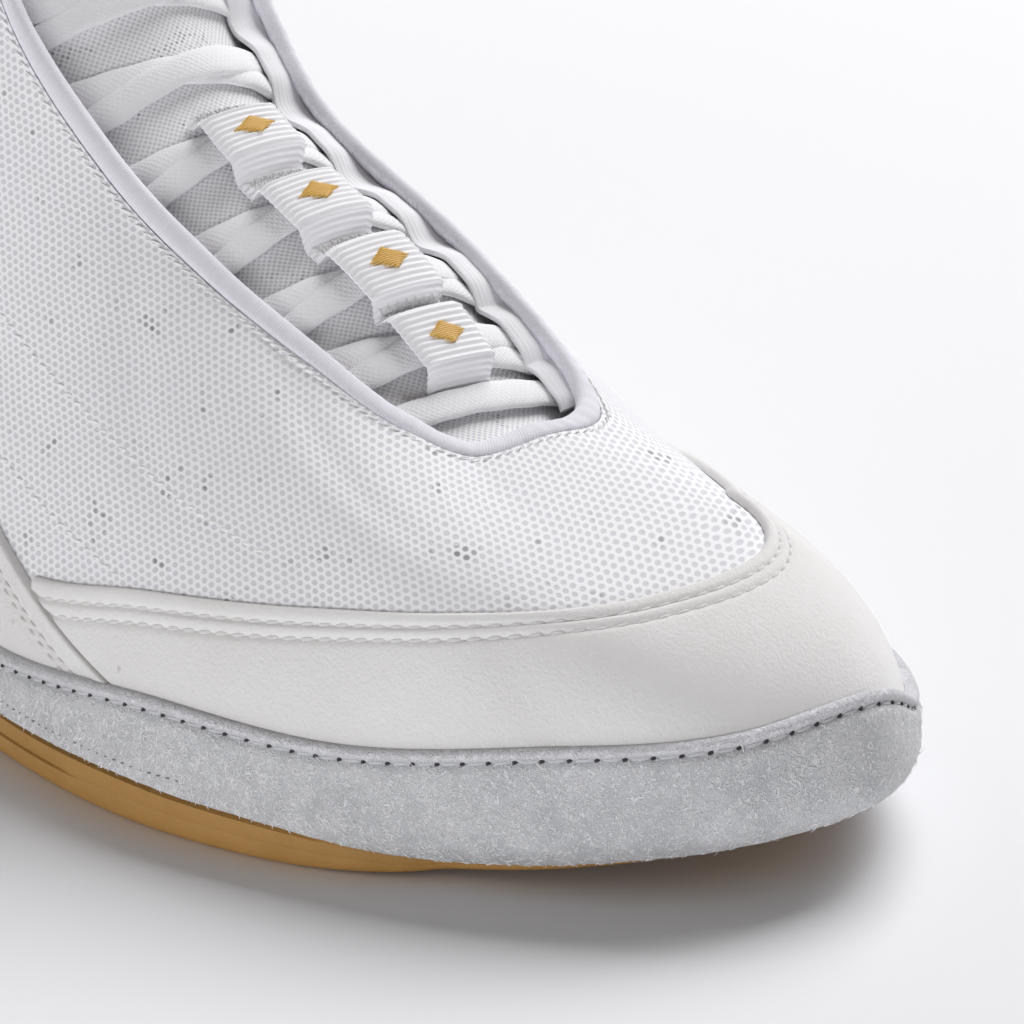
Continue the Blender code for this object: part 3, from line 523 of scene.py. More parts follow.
def below_edge(u, low, top, down, rest):
    """Heights s at set millimetres below a panel's top edge, then rest even steps to its lower edge."""
    s = top[:, None] - np.array(down)[None, :] / rise_at(u, top - 0.03)[:, None]
    floor = low[:, None] + (top - low)[:, None] * np.linspace(0.3, 0.0, len(down))[None, :] * 0.05
    s = np.maximum(s, floor)
    tail = s[:, -1:] + (low[:, None] - s[:, -1:]) * np.linspace(0, 1, rest + 1)[None, 1:]
    return np.concatenate([s, tail], 1)


def run_across(points):
    """The length along each row of a grid of points, from the row's start."""
    return np.array([run_of(row) for row in points])


# Depth of the suede at millimetres below its top edge: a soft roll, then the sunk stitch row
RAND_DOWN = (0.0, 0.12, 0.35, 0.7, 1.1, 1.5, 1.8, 2.1, 2.4, 2.8, 3.4, 4.2)
RAND_FULL = (0.1, 0.6, 1.0, 1.25, 1.3, 1.12, 0.75, 0.5, 0.72, 1.05, 1.15, 1.05)
u = np.linspace(0.5, 1.5, ROUND_PLACES + 1)
low = band(u, "rand_low")
top = band(u, "rand_top")
s = below_edge(u, low, top, RAND_DOWN, RAND_REST)
full = np.broadcast_to(RAND_FULL, (len(u), len(RAND_FULL)))
full = np.concatenate([full, np.ones((len(u), RAND_REST))], 1)
full[:, -1] = 0.35
full[:, -2] = 0.8
lumps = np.zeros(s.shape)
base_points = layer(u, s, 0.0)
for i in range(len(u)):
    for j in range(s.shape[1]):
        p = Vector(base_points[i, j])
        lumps[i, j] = noise.noise(p * 0.35) * 0.16 + noise.noise(p * 1.1) * 0.08
lumps[-1] = lumps[0]
lumps *= ease(np.arange(s.shape[1]), 6, 12)[None, :]
rand_face = layer(u, s, rand_inner(s) + (rand_outer(s) - rand_inner(s)) * full + lumps)
rand_back = layer(u, s, rand_inner(s) - 0.9 * GAP)
across = run_across(base_points)
around = np.broadcast_to(run_of(base_points[:, 8])[:, None], s.shape)
points, faces, uv, which = sheet(rand_face, rand_back, np.stack([around, -across], -1), ring=True)

def body_place(tree):
    """Metres in the part's own frame."""
    return add(tree, "TexCoord").outputs["Object"]


nap, tree, shader = stuff("split_suede_long_nap", "#B4B6BA", 0.95, sheen=0.3)
place = body_place(tree)
patches = add(tree, "TexNoise", {"Vector": place, "Scale": 170.0, "Detail": 4.0, "Roughness": 0.6})
tone = blend(tree, ramp(tree, patches.outputs["Fac"], 0.35, 0.65), ink("#BFC1C5"), ink("#D8D9DC"))
height = patches.outputs["Fac"]
for scale, curl in ((300.0, 2.8), (460.0, 2.2), (700.0, 1.6)):
    swirl = add(tree, "TexNoise", {"Vector": place, "Scale": scale, "Detail": 1.0, "Distortion": curl})
    ridge = maths(tree, "ABSOLUTE", maths(tree, "SUBTRACT", swirl.outputs["Fac"], 0.5))
    fibre = ramp(tree, ridge, 0.012, 0.045, 0.75, 0.0, "SMOOTHSTEP")
    tone = blend(tree, fibre, tone, ink("#EFF0F2"))
    height = maths(tree, "ADD", height, fibre)
cloth = cloth_place(tree)
# Painted light: the suede is painted paler from its top edge down 1.2 mm, fading out by 1.9 mm, on the rolled
# edge that lies in shade under the mudguard
down = add(tree, "SeparateXYZ", {"Vector": cloth}).outputs["Y"]
tone = blend(tree, ramp(tree, down, -1.9, -1.2, 0.0, 0.85), tone, ink("#E9E9EE"))
tree.links.new(tone, shader.inputs["Base Color"])
relief(tree, shader, height, 0.65, 0.0006)
piece("rand_suede", points, faces, uv, [nap], ["rand"])


# Mudguard, saddles and heel counter
# Panels of cream nubuck stitched to the mesh, each with a folded edge and two stitch rows beside it.
# The saddles' edges are padded, so they stand up and catch the light.
SADDLE_FRONT = 0.142
SADDLE_SLOPE = 2.35
SADDLE_LOW = 0.12
GUARD_TIP = 0.02
QUARTER_TOP = 0.47
HEEL_TOP = 0.54
COUNTER_FRONT = 0.385
SEAM = 0.0008
SEAM_UP = 0.004


def from_toe(u):
    """How far a place is from the toe tip, the same on both sides."""
    return np.abs((np.asarray(u) + 0.5) % 1.0 - 0.5)


def foot_line(u):
    """The overlays' lower edge, hidden behind the rand."""
    return np.maximum(band(u, "rand_low") + 0.02, 0.10)


def saddle_line(u):
    """The saddle's raised edge climbs backwards to the quarter's height, then on to the heel's."""
    climb = SADDLE_LOW + (from_toe(u) - SADDLE_FRONT) * SADDLE_SLOPE
    quarter = QUARTER_TOP + (HEEL_TOP - QUARTER_TOP) * ease(from_toe(u), COUNTER_FRONT, 0.47)
    return np.minimum(climb, quarter)


def guard_line(u):
    return band(u, "guard_top")


def guard_foot(u):
    """The mudguard ends along the saddle's edge."""
    return np.maximum(foot_line(u), saddle_line(u) + SEAM_UP)


def guard_end(side):
    """Where the mudguard's top comes down to the saddle's edge; side is 1 outer and -1 inner."""
    u = side * np.linspace(SADDLE_FRONT, COUNTER_FRONT, 600)
    return u[np.argmax(guard_line(u) - guard_foot(u) < GUARD_TIP)]


# Panel thickness at millimetres below the top edge: folded edge, two sunk stitch rows, plain
PANEL_DOWN = (0.0, 0.1, 0.3, 0.65, 1.1, 1.8, 2.3, 2.6, 2.8,
              3.0, 3.3, 3.9, 4.5, 5.0, 5.25, 5.5, 5.9, 6.8)
GUARD_FULL = (0.1, 0.6, 0.95, 1.2, 1.28, 1.24, 1.1, 0.78, 0.6,
              0.74, 1.08, 1.2, 1.12, 0.82, 0.62, 0.8, 1.06, 1.1)
SADDLE_FULL = (0.6, 1.05, 1.4, 1.55, 1.4, 1.1, 1.0, 1.0, 0.98,
               1.0, 1.02, 0.9, 0.7, 0.95, 1.02, 0.85, 0.68, 1.02)


def overlay_face(u, low, top, full, rest):
    s = below_edge(u, low, top, PANEL_DOWN, rest)
    thick = np.pad(np.broadcast_to(full, (len(u), len(full))), ((0, 0), (0, rest)), mode="edge")
    return s, GAP + thick


def nubuck(name, colour, scuff):
    """Cream nubuck: a fine even nap with a faint grain, and a few tiny scuffs."""
    mat, tree, shader = stuff(name, colour, 0.86, sheen=0.2)
    place = body_place(tree)
    grain = add(tree, "TexNoise", {"Vector": place, "Scale": 1500.0, "Detail": 4.0, "Roughness": 0.65})
    cloudy = add(tree, "TexNoise", {"Vector": place, "Scale": 60.0, "Detail": 3.0})
    marks = add(tree, "TexVoronoi", {"Vector": place, "Scale": 75.0})
    toned = blend(tree, ramp(tree, cloudy.outputs["Fac"], 0.3, 0.7, 0.0, 0.35), ink(colour), ink("#E3E2DF"))
    speck = ramp(tree, marks.outputs["Distance"], 0.015, 0.05, scuff, 0.0)
    marked = blend(tree, speck, toned, ink("#8D8678"))
    tree.links.new(marked, shader.inputs["Base Color"])
    relief(tree, shader, grain.outputs["Fac"], 0.7, 0.0003)
    return mat


suede = nubuck("cream_nubuck", "#F0EFEE", 0.35)


def panel(name, node, start, end, count, low_line, top_line, full, rest):
    """One overlay, with its edge's form."""
    u = np.linspace(start, end, count)
    s, off = overlay_face(u, low_line(u), top_line(u), full, rest)
    off[0] *= 0.6
    off[-1] *= 0.6
    back = layer(u, s, 0.4 * GAP)
    run = run_of(layer(u, s, 0.0)[:, 6])
    uv = np.stack([np.broadcast_to(run[:, None], s.shape), -run_across(back)], -1)
    points, faces, uv, which = sheet(layer(u, s, off), back, uv)
    piece(name, points, faces, uv, [suede], [node])


FRONT_OUTER = SADDLE_FRONT + 0.004
panel("mudguard_nubuck", "mudguard", guard_end(-1), guard_end(1), 420, guard_foot, guard_line,
      GUARD_FULL, 16)
panel("saddle_outer_nubuck", "saddle_outer", FRONT_OUTER, COUNTER_FRONT - SEAM, 200, foot_line, saddle_line,
      SADDLE_FULL, 12)
panel("saddle_inner_nubuck", "saddle_inner", 1 - COUNTER_FRONT + SEAM, 1 - FRONT_OUTER, 200, foot_line,
      saddle_line, SADDLE_FULL, 12)
panel("counter_nubuck", "heel_counter", COUNTER_FRONT, 1 - COUNTER_FRONT, 160, foot_line, saddle_line,
      GUARD_FULL, 14)


# Stitches
# Bonded polyester thread in lockstitch: each stitch is a short bent length that dives in at its ends.
# Where it dives on the rand, the needle has left a small hole, shown as a dark plug of painted shade.


def row_on(u, s, off):
    """A line off millimetres out from the skin: its points and normals."""
    off = np.broadcast_to(off, u.shape)[:, None]
    return layer(u, s[:, None], off)[:, 0], normals(u, s[:, None])[:, 0]


def on_panel(u, top_line, down, off):
    """A line on the last's skin, down millimetres below a panel's top edge: its points and normals."""
    top = top_line(u)
    return row_on(u, top - down / rise_at(u, top - 0.03), off)


def along(points, outward, at):
    """Points, directions and normals at lengths along a line."""
    run = run_of(points)

    def read(values, where):
        return np.stack([np.interp(where, run, values[:, k]) for k in range(3)], -1)

    ahead = read(points, at + 0.25) - read(points, at - 0.25)
    return read(points, at), unit(ahead), unit(read(outward, at))


def threads(lines, pitch, long, wide, proud, sink, slant, first=0.5):
    """Stitches along lines on a surface, each a bent thread with sunk ends: points, faces and uv."""
    x = np.linspace(-1, 1, 7)
    sides = 6
    angle = 2 * math.pi * np.arange(sides) / sides
    points = []
    for line, outward in lines:
        total = run_of(line)[-1]
        count = max(int(total // pitch), 1)
        middle = (np.arange(count) + first) * total / count
        p, t, n = along(line, outward, middle[:, None] + x[None, :] * long / 2)
        side = np.cross(n, t)
        lift = proud - (proud + sink) * np.abs(x) ** 3
        centre = p + n * lift[None, :, None] + side * (slant * x)[None, :, None]
        radius = wide / 2 * (1 - 0.3 * x ** 4)
        ring = (side[:, :, None] * np.cos(angle)[None, None, :, None]
                + n[:, :, None] * np.sin(angle)[None, None, :, None] * 0.85)
        points.append((centre[:, :, None] + ring * radius[None, :, None, None]).reshape(-1, 3))
    points = np.concatenate(points)
    count = len(points) // (len(x) * sides)
    index = np.arange(len(x) * sides).reshape(len(x), sides)
    around = np.roll(index, -1, axis=1)
    quads = np.stack([index[:-1], around[:-1], around[1:], index[1:]], -1).reshape(-1, 4)
    start = np.arange(count)[:, None, None] * len(x) * sides
    faces = (quads[None] + start).reshape(-1, 4).tolist()
    faces += (np.arange(sides)[::-1] + start[:, 0]).tolist()
    faces += (np.arange(sides) + (len(x) - 1) * sides + start[:, 0]).tolist()
    uv = np.stack([np.tile(np.repeat(x * long / 2, sides), count), np.tile(angle, len(x) * count)], -1)
    return points, faces, uv


def sew(name, lines, thread, slot, **stitch):
    """Stitches along lines on a surface, as one piece."""
    points, faces, uv = threads(lines, **stitch)
    piece(name, points, faces, uv, [thread])


def ribbed(name, colour, rough, sheen, turn, strength, distance, **wave):
    """A cloth or thread with fine ribs, turned by an angle in radians."""
    mat, tree, shader = stuff(name, colour, rough, sheen=sheen)
    turned = add(tree, "Mapping", {"Vector": cloth_place(tree), "Rotation": (0, 0, turn)})
    ribs = add(tree, "TexWave", {"Vector": turned.outputs[0], **wave})
    relief(tree, shader, ribs.outputs["Fac"], strength, distance)
    return mat


def thread_stuff(name, colour, rough=0.6):
    """Twisted thread: soft sheen, with a fine diagonal ply."""
    return ribbed(name, colour, rough, 0.1, 0.7, 0.5, 0.0001, Scale=0.9)


white_thread = thread_stuff("white_polyester_thread", "#ECEBEA")
GUARD_ROWS = (2.8, 5.25)
SADDLE_ROWS = (4.5, 5.9)
GUARD_STITCH = dict(pitch=3.2, long=3.0, wide=0.6, proud=0.14, sink=0.5, slant=0.14)
lines = []
u = np.linspace(guard_end(-1) + 0.004, guard_end(1) - 0.004, 900)
room = guard_line(u) - guard_foot(u)
for down, full in zip(GUARD_ROWS, (0.66, 0.68)):
    keep = room * rise_at(u, guard_line(u) - 0.03) > down + 0.8
    lines.append(on_panel(u[keep], guard_line, down, GAP + full))
sew("mudguard_stitches", lines, white_thread, "suede", **GUARD_STITCH)
lines = []
for start, end in ((FRONT_OUTER + 0.03, COUNTER_FRONT - 0.004),
                   (1 - COUNTER_FRONT + 0.004, 1 - FRONT_OUTER - 0.03)):
    u = np.linspace(start, end, 500)
    for down in SADDLE_ROWS:
        lines.append(on_panel(u, saddle_line, down, GAP + 0.78))
u = np.linspace(COUNTER_FRONT + 0.003, 1 - COUNTER_FRONT - 0.003, 500)
for down in GUARD_ROWS:
    lines.append(on_panel(u, saddle_line, down, GAP + 0.66))
sew("side_stitches", lines, white_thread, "suede", **GUARD_STITCH)

# The rand's stitches are longer and lie almost buried, and their holes are dark plugs of painted shade
RAND_PITCH = 4.2
u = np.linspace(0.5, 1.5, 1600)
line, outward = on_panel(u, lambda u: band(u, "rand_top"), RAND_STITCH_DOWN, 0.0)
s_row = band(u, "rand_top") - RAND_STITCH_DOWN / rise_at(u, band(u, "rand_top") - 0.03)
line = line + outward * (rand_inner(s_row) + RAND_THICK * 0.55)[:, None]
grey_thread = thread_stuff("grey_polyester_thread", "#D2D3D7")
sew("rand_stitches", [(line, outward)], grey_thread, "hairy_suede", pitch=RAND_PITCH, long=3.5, wide=0.62,
    proud=0.1, sink=0.45, slant=0.12)
# Painted shade: a short dark plug at each needle hole stands for the shade inside it
needle_hole, tree, shader = stuff("needle_hole_shade", "#3E3E42", 1.0)
sew("rand_needle_holes", [(line, outward)], needle_hole, "hairy_suede", pitch=RAND_PITCH, long=1.1,
    wide=0.85, proud=0.02, sink=0.5, slant=0.2, first=0.04)

# A fine second row above the gum, from the ball back round the heel
u = np.linspace(0.172, 0.828, 1200)
low_edge = band(u, "rand_low")
s_row = low_edge + 2.2 / rise_at(u, low_edge + 0.03)
row = row_on(u, s_row, rand_inner(s_row) + RAND_THICK)
shade_thread = thread_stuff("shaded_polyester_thread", "#8E8E92")
sew("rand_foot_stitches", [row], shade_thread, "hairy_suede", pitch=2.0,
    long=1.0, wide=0.3, proud=0.02, sink=0.2, slant=0.1)

# Two dashed rows on the mesh, where a tape inside the outer wall is caught down.
# Each pair is a place and a height on the last.
SUPPORTS = {
    "upper_row": ((0.300, 0.668), (0.274, 0.665), (0.241, 0.655), (0.222, 0.645),
                  (0.196, 0.622), (0.173, 0.600), (0.150, 0.580), (0.136, 0.565)),
    "lower_row": ((0.285, 0.500), (0.257, 0.485), (0.220, 0.455), (0.197, 0.430)),
}
lines = []
for row in SUPPORTS.values():
    knots, heights = np.array(row)[::-1].T
    u = np.linspace(knots[0], knots[-1], 300)
    s_row = np.interp(u, knots, heights)
    lines.append(row_on(u, s_row, creased(u, s_row) + 0.05))
support_thread = thread_stuff("support_thread", "#FFFFFF")
sew("support_stitches", lines, support_thread, "mesh", pitch=2.6, long=1.5, wide=0.5, proud=0.06, sink=0.12,
    slant=0.22)


# Outsole
# A thin cup of gum rubber, press moulded, with one shallow groove in its side and more across the tread.
# Natural crepe colour, satin, with the faint darker bloom of moulded rubber.
LIP_GAP = 0.012
LIP_GAP_UNDER = 0.045
TREAD_FLAT = 0.03
TREAD_CUT_DEEP = 1.5
TREAD_CUT_WIDE = 2.4
TREAD_CUT_INSET = 6.0
TREAD_PITCH = 9.5
TREAD_PLACES = ((0.52, 0.84), (0.06, 0.24))
SOLE_PLACES = 320
SOLE_COLUMNS = 14

u = np.arange(SOLE_PLACES) / SOLE_PLACES
low = band(u, "rand_low")
lip = low - LIP_GAP - (LIP_GAP_UNDER - LIP_GAP) * (1 - ease(low, -0.15, 0.0))
outward = frame_at(u)[1]
spring = np.maximum(band(u, "spring") - TREAD_FLAT, 0.0) * TOE_SPRING


def sole_ring(level, off):
    """A ring on the skin at a set height, or at the lip where that is lower."""
    return layer(u, np.minimum(lip, level)[:, None], np.reshape(off, (-1, 1)))[:, 0]


lip_out = sole_ring(1.0, rand_outer(lip))
lip_in = sole_ring(1.0, GAP)
drop = lip_out[:, 2] - spring
groove = ease(drop, 3.0, 4.5) * ease(from_toe(u), 0.205, 0.225)


def side_ring(share, inset):
    ring = lip_out.copy()
    ring[:, 2] = spring + drop * share
    return ring - outward * np.reshape(inset, (-1, 1))


# The side's profile: share of its height, how far in, and how far in once more where the groove runs
SIDE = ((0.97, -0.02, 0.0), (0.85, -0.10, 0.0), (0.68, -0.12, 0.0), (0.645, -0.08, 0.1), (0.62, 0.0, 0.5),
        (0.58, 0.0, 0.5), (0.555, -0.08, 0.1), (0.52, -0.10, 0.0), (0.35, 0.05, 0.0), (0.20, 0.30, 0.0),
        (0.08, 0.75, 0.0), (0.02, 1.35, 0.0))
rings = [layer(u, np.full((SOLE_PLACES, 1), -1.0), -MESH_WALL)[:, 0] - outward * GAP,
         layer(u, np.full((SOLE_PLACES, 1), -1.0), GAP)[:, 0] - outward * GAP,
         sole_ring(-0.12, GAP), sole_ring(-0.04, GAP), sole_ring(0.04, GAP), lip_in, lip_out]
rings += [side_ring(share, inset + more * groove) for share, inset, more in SIDE]
rings.append(side_ring(0.0, 2.0))


def filled(rings, columns):
    """A closed solid from rings round the foot, its first and last ring filled across the foot."""
    n = len(rings[0])
    half = n // 2
    points = [np.array(rings).reshape(-1, 3)]
    total = n * len(rings)
    faces = []
    for r in range(len(rings) - 1):
        i = np.arange(n) + r * n
        j = (np.arange(n) + 1) % n + r * n
        faces += np.stack([i, j, j + n, i + n], -1).tolist()
    share = np.arange(1, columns) / columns
    for which in (0, len(rings) - 1):
        ring = rings[which]
        base = which * n
        left = np.arange(1, half)
        right = n - left
        inside = (ring[left][:, None] * (1 - share)[None, :, None]
                  + ring[right][:, None] * share[None, :, None])
        points.append(inside.reshape(-1, 3))
        middle = total + np.arange((half - 1) * (columns - 1)).reshape(half - 1, columns - 1)
        total += middle.size
        index = np.concatenate([base + left[:, None], middle, base + right[:, None]], 1)
        quads = np.stack([index[:-1, :-1], index[1:, :-1], index[1:, 1:], index[:-1, 1:]], -1)
        faces += quads.reshape(-1, 4).tolist()
        faces += [[base, index[0, c], index[0, c + 1]] for c in range(columns)]
        faces += [[base + half, index[-1, c + 1], index[-1, c]] for c in range(columns)]
    return np.concatenate(points), faces


points, faces = filled(rings, SOLE_COLUMNS)
rubber, tree, shader = stuff("moulded_gum_rubber", "#A57A40", 0.6, ior=1.52)
shader.inputs["Specular IOR Level"].default_value = 0.25
place = body_place(tree)
pebble = add(tree, "TexVoronoi", {"Vector": place, "Scale": 1100.0, "Randomness": 0.9},
             feature="SMOOTH_F1")
bloom = add(tree, "TexNoise", {"Vector": place, "Scale": 140.0, "Detail": 3.0})
toned = blend(tree, bloom.outputs["Fac"], ink("#A67C42"), ink("#B98F54"))
tree.links.new(toned, shader.inputs["Base Color"])
relief(tree, shader, pebble.outputs["Distance"], 0.35, 0.0003, invert=True)
outsole = piece("outsole_gum", points, faces, points[:, :2], [rubber], ["outsole"], sharp=40.0)

# The tread's grooves, cut across it in one pass
rim = rings[-1]
heel = int(np.argmin(rim[:, 0]))
toe = int(np.argmax(rim[:, 0]))
ordered = np.roll(rim, -toe, axis=0)
turn = (heel - toe) % SOLE_PLACES
outer_side = ordered[:turn + 1][::-1]
inner_side = np.concatenate([ordered[turn:], ordered[:1]])
bm = bmesh.new()
for start, end in TREAD_PLACES:
    for x in np.arange(start * LAST_LENGTH, end * LAST_LENGTH, TREAD_PITCH):
        sides = [np.array([np.interp(x, side[:, 0], side[:, k]) for k in (1, 2)])
                 for side in (outer_side, inner_side)]
        wide = sides[1][0] - sides[0][0] - 2 * TREAD_CUT_INSET
        size = np.array([TREAD_CUT_WIDE, wide, 2 * TREAD_CUT_DEEP])
        middle = 0.5 * (sides[0] + sides[1])
        centre = np.array([x, middle[0], middle[1]]) - CENTRE
        for vert in bmesh.ops.create_cube(bm, size=1.0)["verts"]:
            vert.co = Vector((np.array(vert.co) * size + centre) * 0.001)
mesh = bpy.data.meshes.new("tread_cuts")
bm.to_mesh(mesh)
bm.free()
cuts = bpy.data.objects.new("tread_cuts", mesh)
bpy.context.scene.collection.objects.link(cuts)
mod = outsole.modifiers.new("tread", "BOOLEAN")
mod.object = cuts
mod.solver = "EXACT"
bpy.context.view_layer.objects.active = outsole
bpy.ops.object.modifier_apply(modifier=mod.name)
bpy.data.objects.remove(cuts, do_unlink=True)


# Tongue
# A padded tongue of finer mesh under the laces, tucked under the vamp in front and free at its top.
THROAT_DEEP = 5.0
CROWN = 9.0
TONGUE_THICK = 2.6
TONGUE_ABOVE = 13.0
TONGUE_COLUMNS = 9
TONGUE_SIDE = 0.84
FINE_ROWS = 200
FINE_COLUMNS = 60
CROWN_FULL_AT = 35.0
BAR_AT = 5.6
ROWS_AT = (16.0, 29.8, 46.2, 63.6, 81.0, 98.4, 115.8)
TAPE_TAIL = 9.0
LACE_WIDE = 5.4
LACE_THICK = 1.5


def throat_edge(start, end):
    u = np.linspace(start, end, 400)
    return u, run_of(layer(u, np.ones((400, 1)), 0.0)[:, 0])


OUTER_U, OUTER_RUN = throat_edge(knot("toe_side"), knot("ankle_outer"))
INNER_U, INNER_RUN = throat_edge(knot("toe_side_inner"), knot("ankle_inner"))
THROAT = 0.5 * (OUTER_RUN[-1] + INNER_RUN[-1])


def throat_u(v):
    """Places round the foot of the two edges, v millimetres up the throat from its front."""
    v = np.asarray(v, float) / THROAT
    return np.interp(v * OUTER_RUN[-1], OUTER_RUN, OUTER_U), np.interp(v * INNER_RUN[-1], INNER_RUN, INNER_U)


def across_throat(v, w):
    sides = []
    for u in throat_u(v):
        deep = THROAT_DEEP - MESH_WALL + upper_wall(u, np.full((len(u), 1), 0.95))
        sides.append(layer(u, np.full((len(u), 1), 0.97), -deep)[:, 0])
    return sides[0], sides[1], sides[0] * (1 - w[:, None]) + sides[1] * w[:, None]


def tongue_top(v, w):
    """A point on top of the tongue, v millimetres up the throat and the share w of the way across."""
    extra = np.maximum(v - THROAT, 0.0)
    v = np.minimum(v, THROAT)
    pa, pb, p = across_throat(v, w)
    half = np.full(len(v), 0.5)
    ahead = np.minimum(v + 1.0, THROAT)
    up = unit(across_throat(ahead, half)[2] - across_throat(ahead - 4.0, half)[2])
    n = unit(np.cross(up, pa - pb))
    crown = CROWN * (0.35 + 0.65 * ease(v, 0.0, CROWN_FULL_AT))
    return p + n * (crown * 4 * w * (1 - w))[:, None] + up * extra[:, None]


def over_tongue(v, w, lift):
    """A point lifted off the tongue's top."""
    v, w, lift = np.broadcast_arrays(np.asarray(v, float), np.asarray(w, float), np.asarray(lift, float))
    shape = v.shape
    v, w, lift = v.reshape(-1), w.reshape(-1), lift.reshape(-1)
    dw = tongue_top(v, w + 0.01) - tongue_top(v, w - 0.01)
    dv = tongue_top(v + 1.0, w) - tongue_top(v - 1.0, w)
    return (tongue_top(v, w) + unit(np.cross(dw, dv)) * lift[:, None]).reshape(shape + (3,))


tuck = MESH_WALL + GAP
cols = TONGUE_COLUMNS
front_u = np.linspace(knot("toe_side"), knot("toe_side_inner") - 1, cols)
front_s = TONGUE_SIDE + 0.11 * ease(1 - np.abs(np.linspace(-1, 1, cols)), 0.0, 0.4)
front_deep = tuck + 0.4 + (THROAT_DEEP - 0.8 - tuck) * ease(front_s, TONGUE_SIDE, 0.95)
rows = [layer(front_u * 0.7, np.full((cols, 1), 0.83), -(tuck + 0.4))[:, 0],
        layer(front_u, front_s[:, None], -front_deep[:, None])[:, 0]]
between = [(a + b) / 2 for a, b in zip((BAR_AT / 2,) + ROWS_AT, ROWS_AT + (THROAT,))]
tape_end = ROWS_AT[-1] + TAPE_TAIL
for v in sorted([BAR_AT / 2, tape_end] + between + list(ROWS_AT) + [THROAT, THROAT + TONGUE_ABOVE]):
    middle = over_tongue(np.full(cols - 2, v), np.linspace(0.0, 1.0, cols - 2), 0.0)
    sides = []
    for u in throat_u(np.array([min(v, THROAT)])):
        side_s = np.array([[TONGUE_SIDE]])
        sides.append(layer(u, side_s, -(upper_wall(u, side_s)[0, 0] + GAP + 0.2))[0])
    if v > THROAT:
        sides[0] = middle[:1] + (sides[0] - over_tongue([THROAT], [0.0], [0.0]))
        sides[1] = middle[-1:] + (sides[1] - over_tongue([THROAT], [1.0], [0.0]))
    rows.append(np.concatenate([sides[0], middle, sides[1]]))
coarse = np.array(rows)


def finer(grid, count):
    """The same surface with more rows, as a smooth curve through the given ones."""
    step = np.linalg.norm(np.diff(grid, axis=0), axis=-1).mean(1)
    knots = np.concatenate([[0.0], np.cumsum(step)])
    flat = spline(knots, grid.reshape(len(grid), -1), np.linspace(0, knots[-1] * 0.99999, count))
    return flat.reshape((count,) + grid.shape[1:])


top = finer(np.swapaxes(finer(coarse, FINE_ROWS), 0, 1), FINE_COLUMNS)
top = np.swapaxes(top, 0, 1)
n = unit(np.cross(np.gradient(top, axis=1), np.gradient(top, axis=0)))
edge_w = np.minimum(np.arange(FINE_COLUMNS), np.arange(FINE_COLUMNS)[::-1])
edge_v = np.arange(FINE_ROWS)[::-1]
round_edge = 1 - np.sqrt(np.clip(1 - (1 - np.clip(edge_v / 4.0, 0, 1)) ** 2, 0, 1))
top = top - n * (round_edge * TONGUE_THICK * 0.5)[:, None, None]
puff = 0.18 * np.sin(np.arange(FINE_ROWS) * 0.35)[:, None] * ease(edge_w, 8, 20)[None, :]
thick = TONGUE_THICK * (1 - 0.9 * round_edge)
long = run_of(top[:, FINE_COLUMNS // 2])
wide = run_of(top[FINE_ROWS // 2])
uv = np.stack(np.broadcast_arrays(wide[None, :], long[:, None]), -1)
tongue_mesh = knitted("fine_knitted_tongue_mesh", "#FFFFFF", "#E0E1E8", "#8A8A90",
                      pitch=1.05, squash=1.0, open_share=0.34, clusters=0.36)
points, faces, uv, which = sheet(top + n * puff[..., None] * 0.6, top - n * thick[:, None, None], uv)
piece("tongue_mesh", points, faces, uv, [tongue_mesh, lining], ["tongue"], which)


# Throat binding
# A bias-cut twill tape rolled over the raw edge of the throat and collar and sewn down beside it.
BIND_WIDE = 4.0
BIND_OVER = 0.6
BIND_PLACES = 620
BIND_SIDES = 20
BIND_GIRTH = 11.0
u = np.linspace(0.5, 1.5, BIND_PLACES + 1)
ones = np.ones((len(u), 1))
edge_line = layer(u, ones, 0.0)[:, 0]
n = normals(u, ones)[:, 0]
t = edge_line - layer(u, ones * 0.96, 0.0)[:, 0]
t = unit(t - n * np.sum(t * n, axis=1)[:, None])
wall = upper_wall(u, ones)
centre = edge_line + t * (GAP * 0.3 + BIND_WIDE / 2) - n * wall / 2
angle = 2 * math.pi * np.arange(BIND_SIDES + 1) / BIND_SIDES
round_x = np.sign(np.cos(angle)) * np.abs(np.cos(angle)) ** 0.8
round_y = np.sign(np.sin(angle)) * np.abs(np.sin(angle)) ** 0.8
run = run_of(edge_line)
pucker = 1 + 0.035 * np.sin(run * 2.1) + 0.03 * np.sin(run * 0.83 + 1.0)
pucker[-1] = pucker[0]
tube = (centre[:, None] + t[:, None] * (round_x * BIND_WIDE / 2)[None, :, None]
        + n[:, None] * ((round_y[None, :] * (wall / 2 + BIND_OVER)) * pucker[:, None])[..., None])
girth = np.broadcast_to(angle / (2 * math.pi) * BIND_GIRTH, tube.shape[:2])
uv = np.stack([np.broadcast_to(run[:, None], tube.shape[:2]), girth], -1)
twill = ribbed("bias_twill_tape", "#EBEAF2", 0.8, 0.2, 0.35, 0.35, 0.00015,
               Scale=0.62, Distortion=0.4, Detail=1.0)
piece("throat_binding_twill", tube.reshape(-1, 3), grid_faces(*tube.shape[:2]), uv.reshape(-1, 2), [twill],
      ["throat_binding"])

# The binding's seam: slanting stitches on the mesh just beside it
u = np.linspace(0.5, 1.5, 1500)
s_seam = 1 - 0.9 / rise_at(u, np.full(len(u), 0.96))
sew("binding_stitches", [row_on(u, s_seam, 0.12)], support_thread, "binding", pitch=1.9,
    long=1.7, wide=0.32, proud=0.05, sink=0.15, slant=0.3)


# Lace
# One flat tubular lace of soft spun polyester. It starts as a bar in front, crosses in every row
# and turns under the throat's edges from row to row; its ends stop at the top eyelets, under the edge.
LACE_LIFT = GAP + LACE_THICK / 2
LACE_UNDER = 0.05
SPREAD = 3.0
LACE_TILT = 1.8


def half_spread(side):
    """Half of a strand's climb: steep where it starts at the inner edge, and slight elsewhere."""
    return SPREAD + LACE_TILT if side == 1 else SPREAD - LACE_TILT


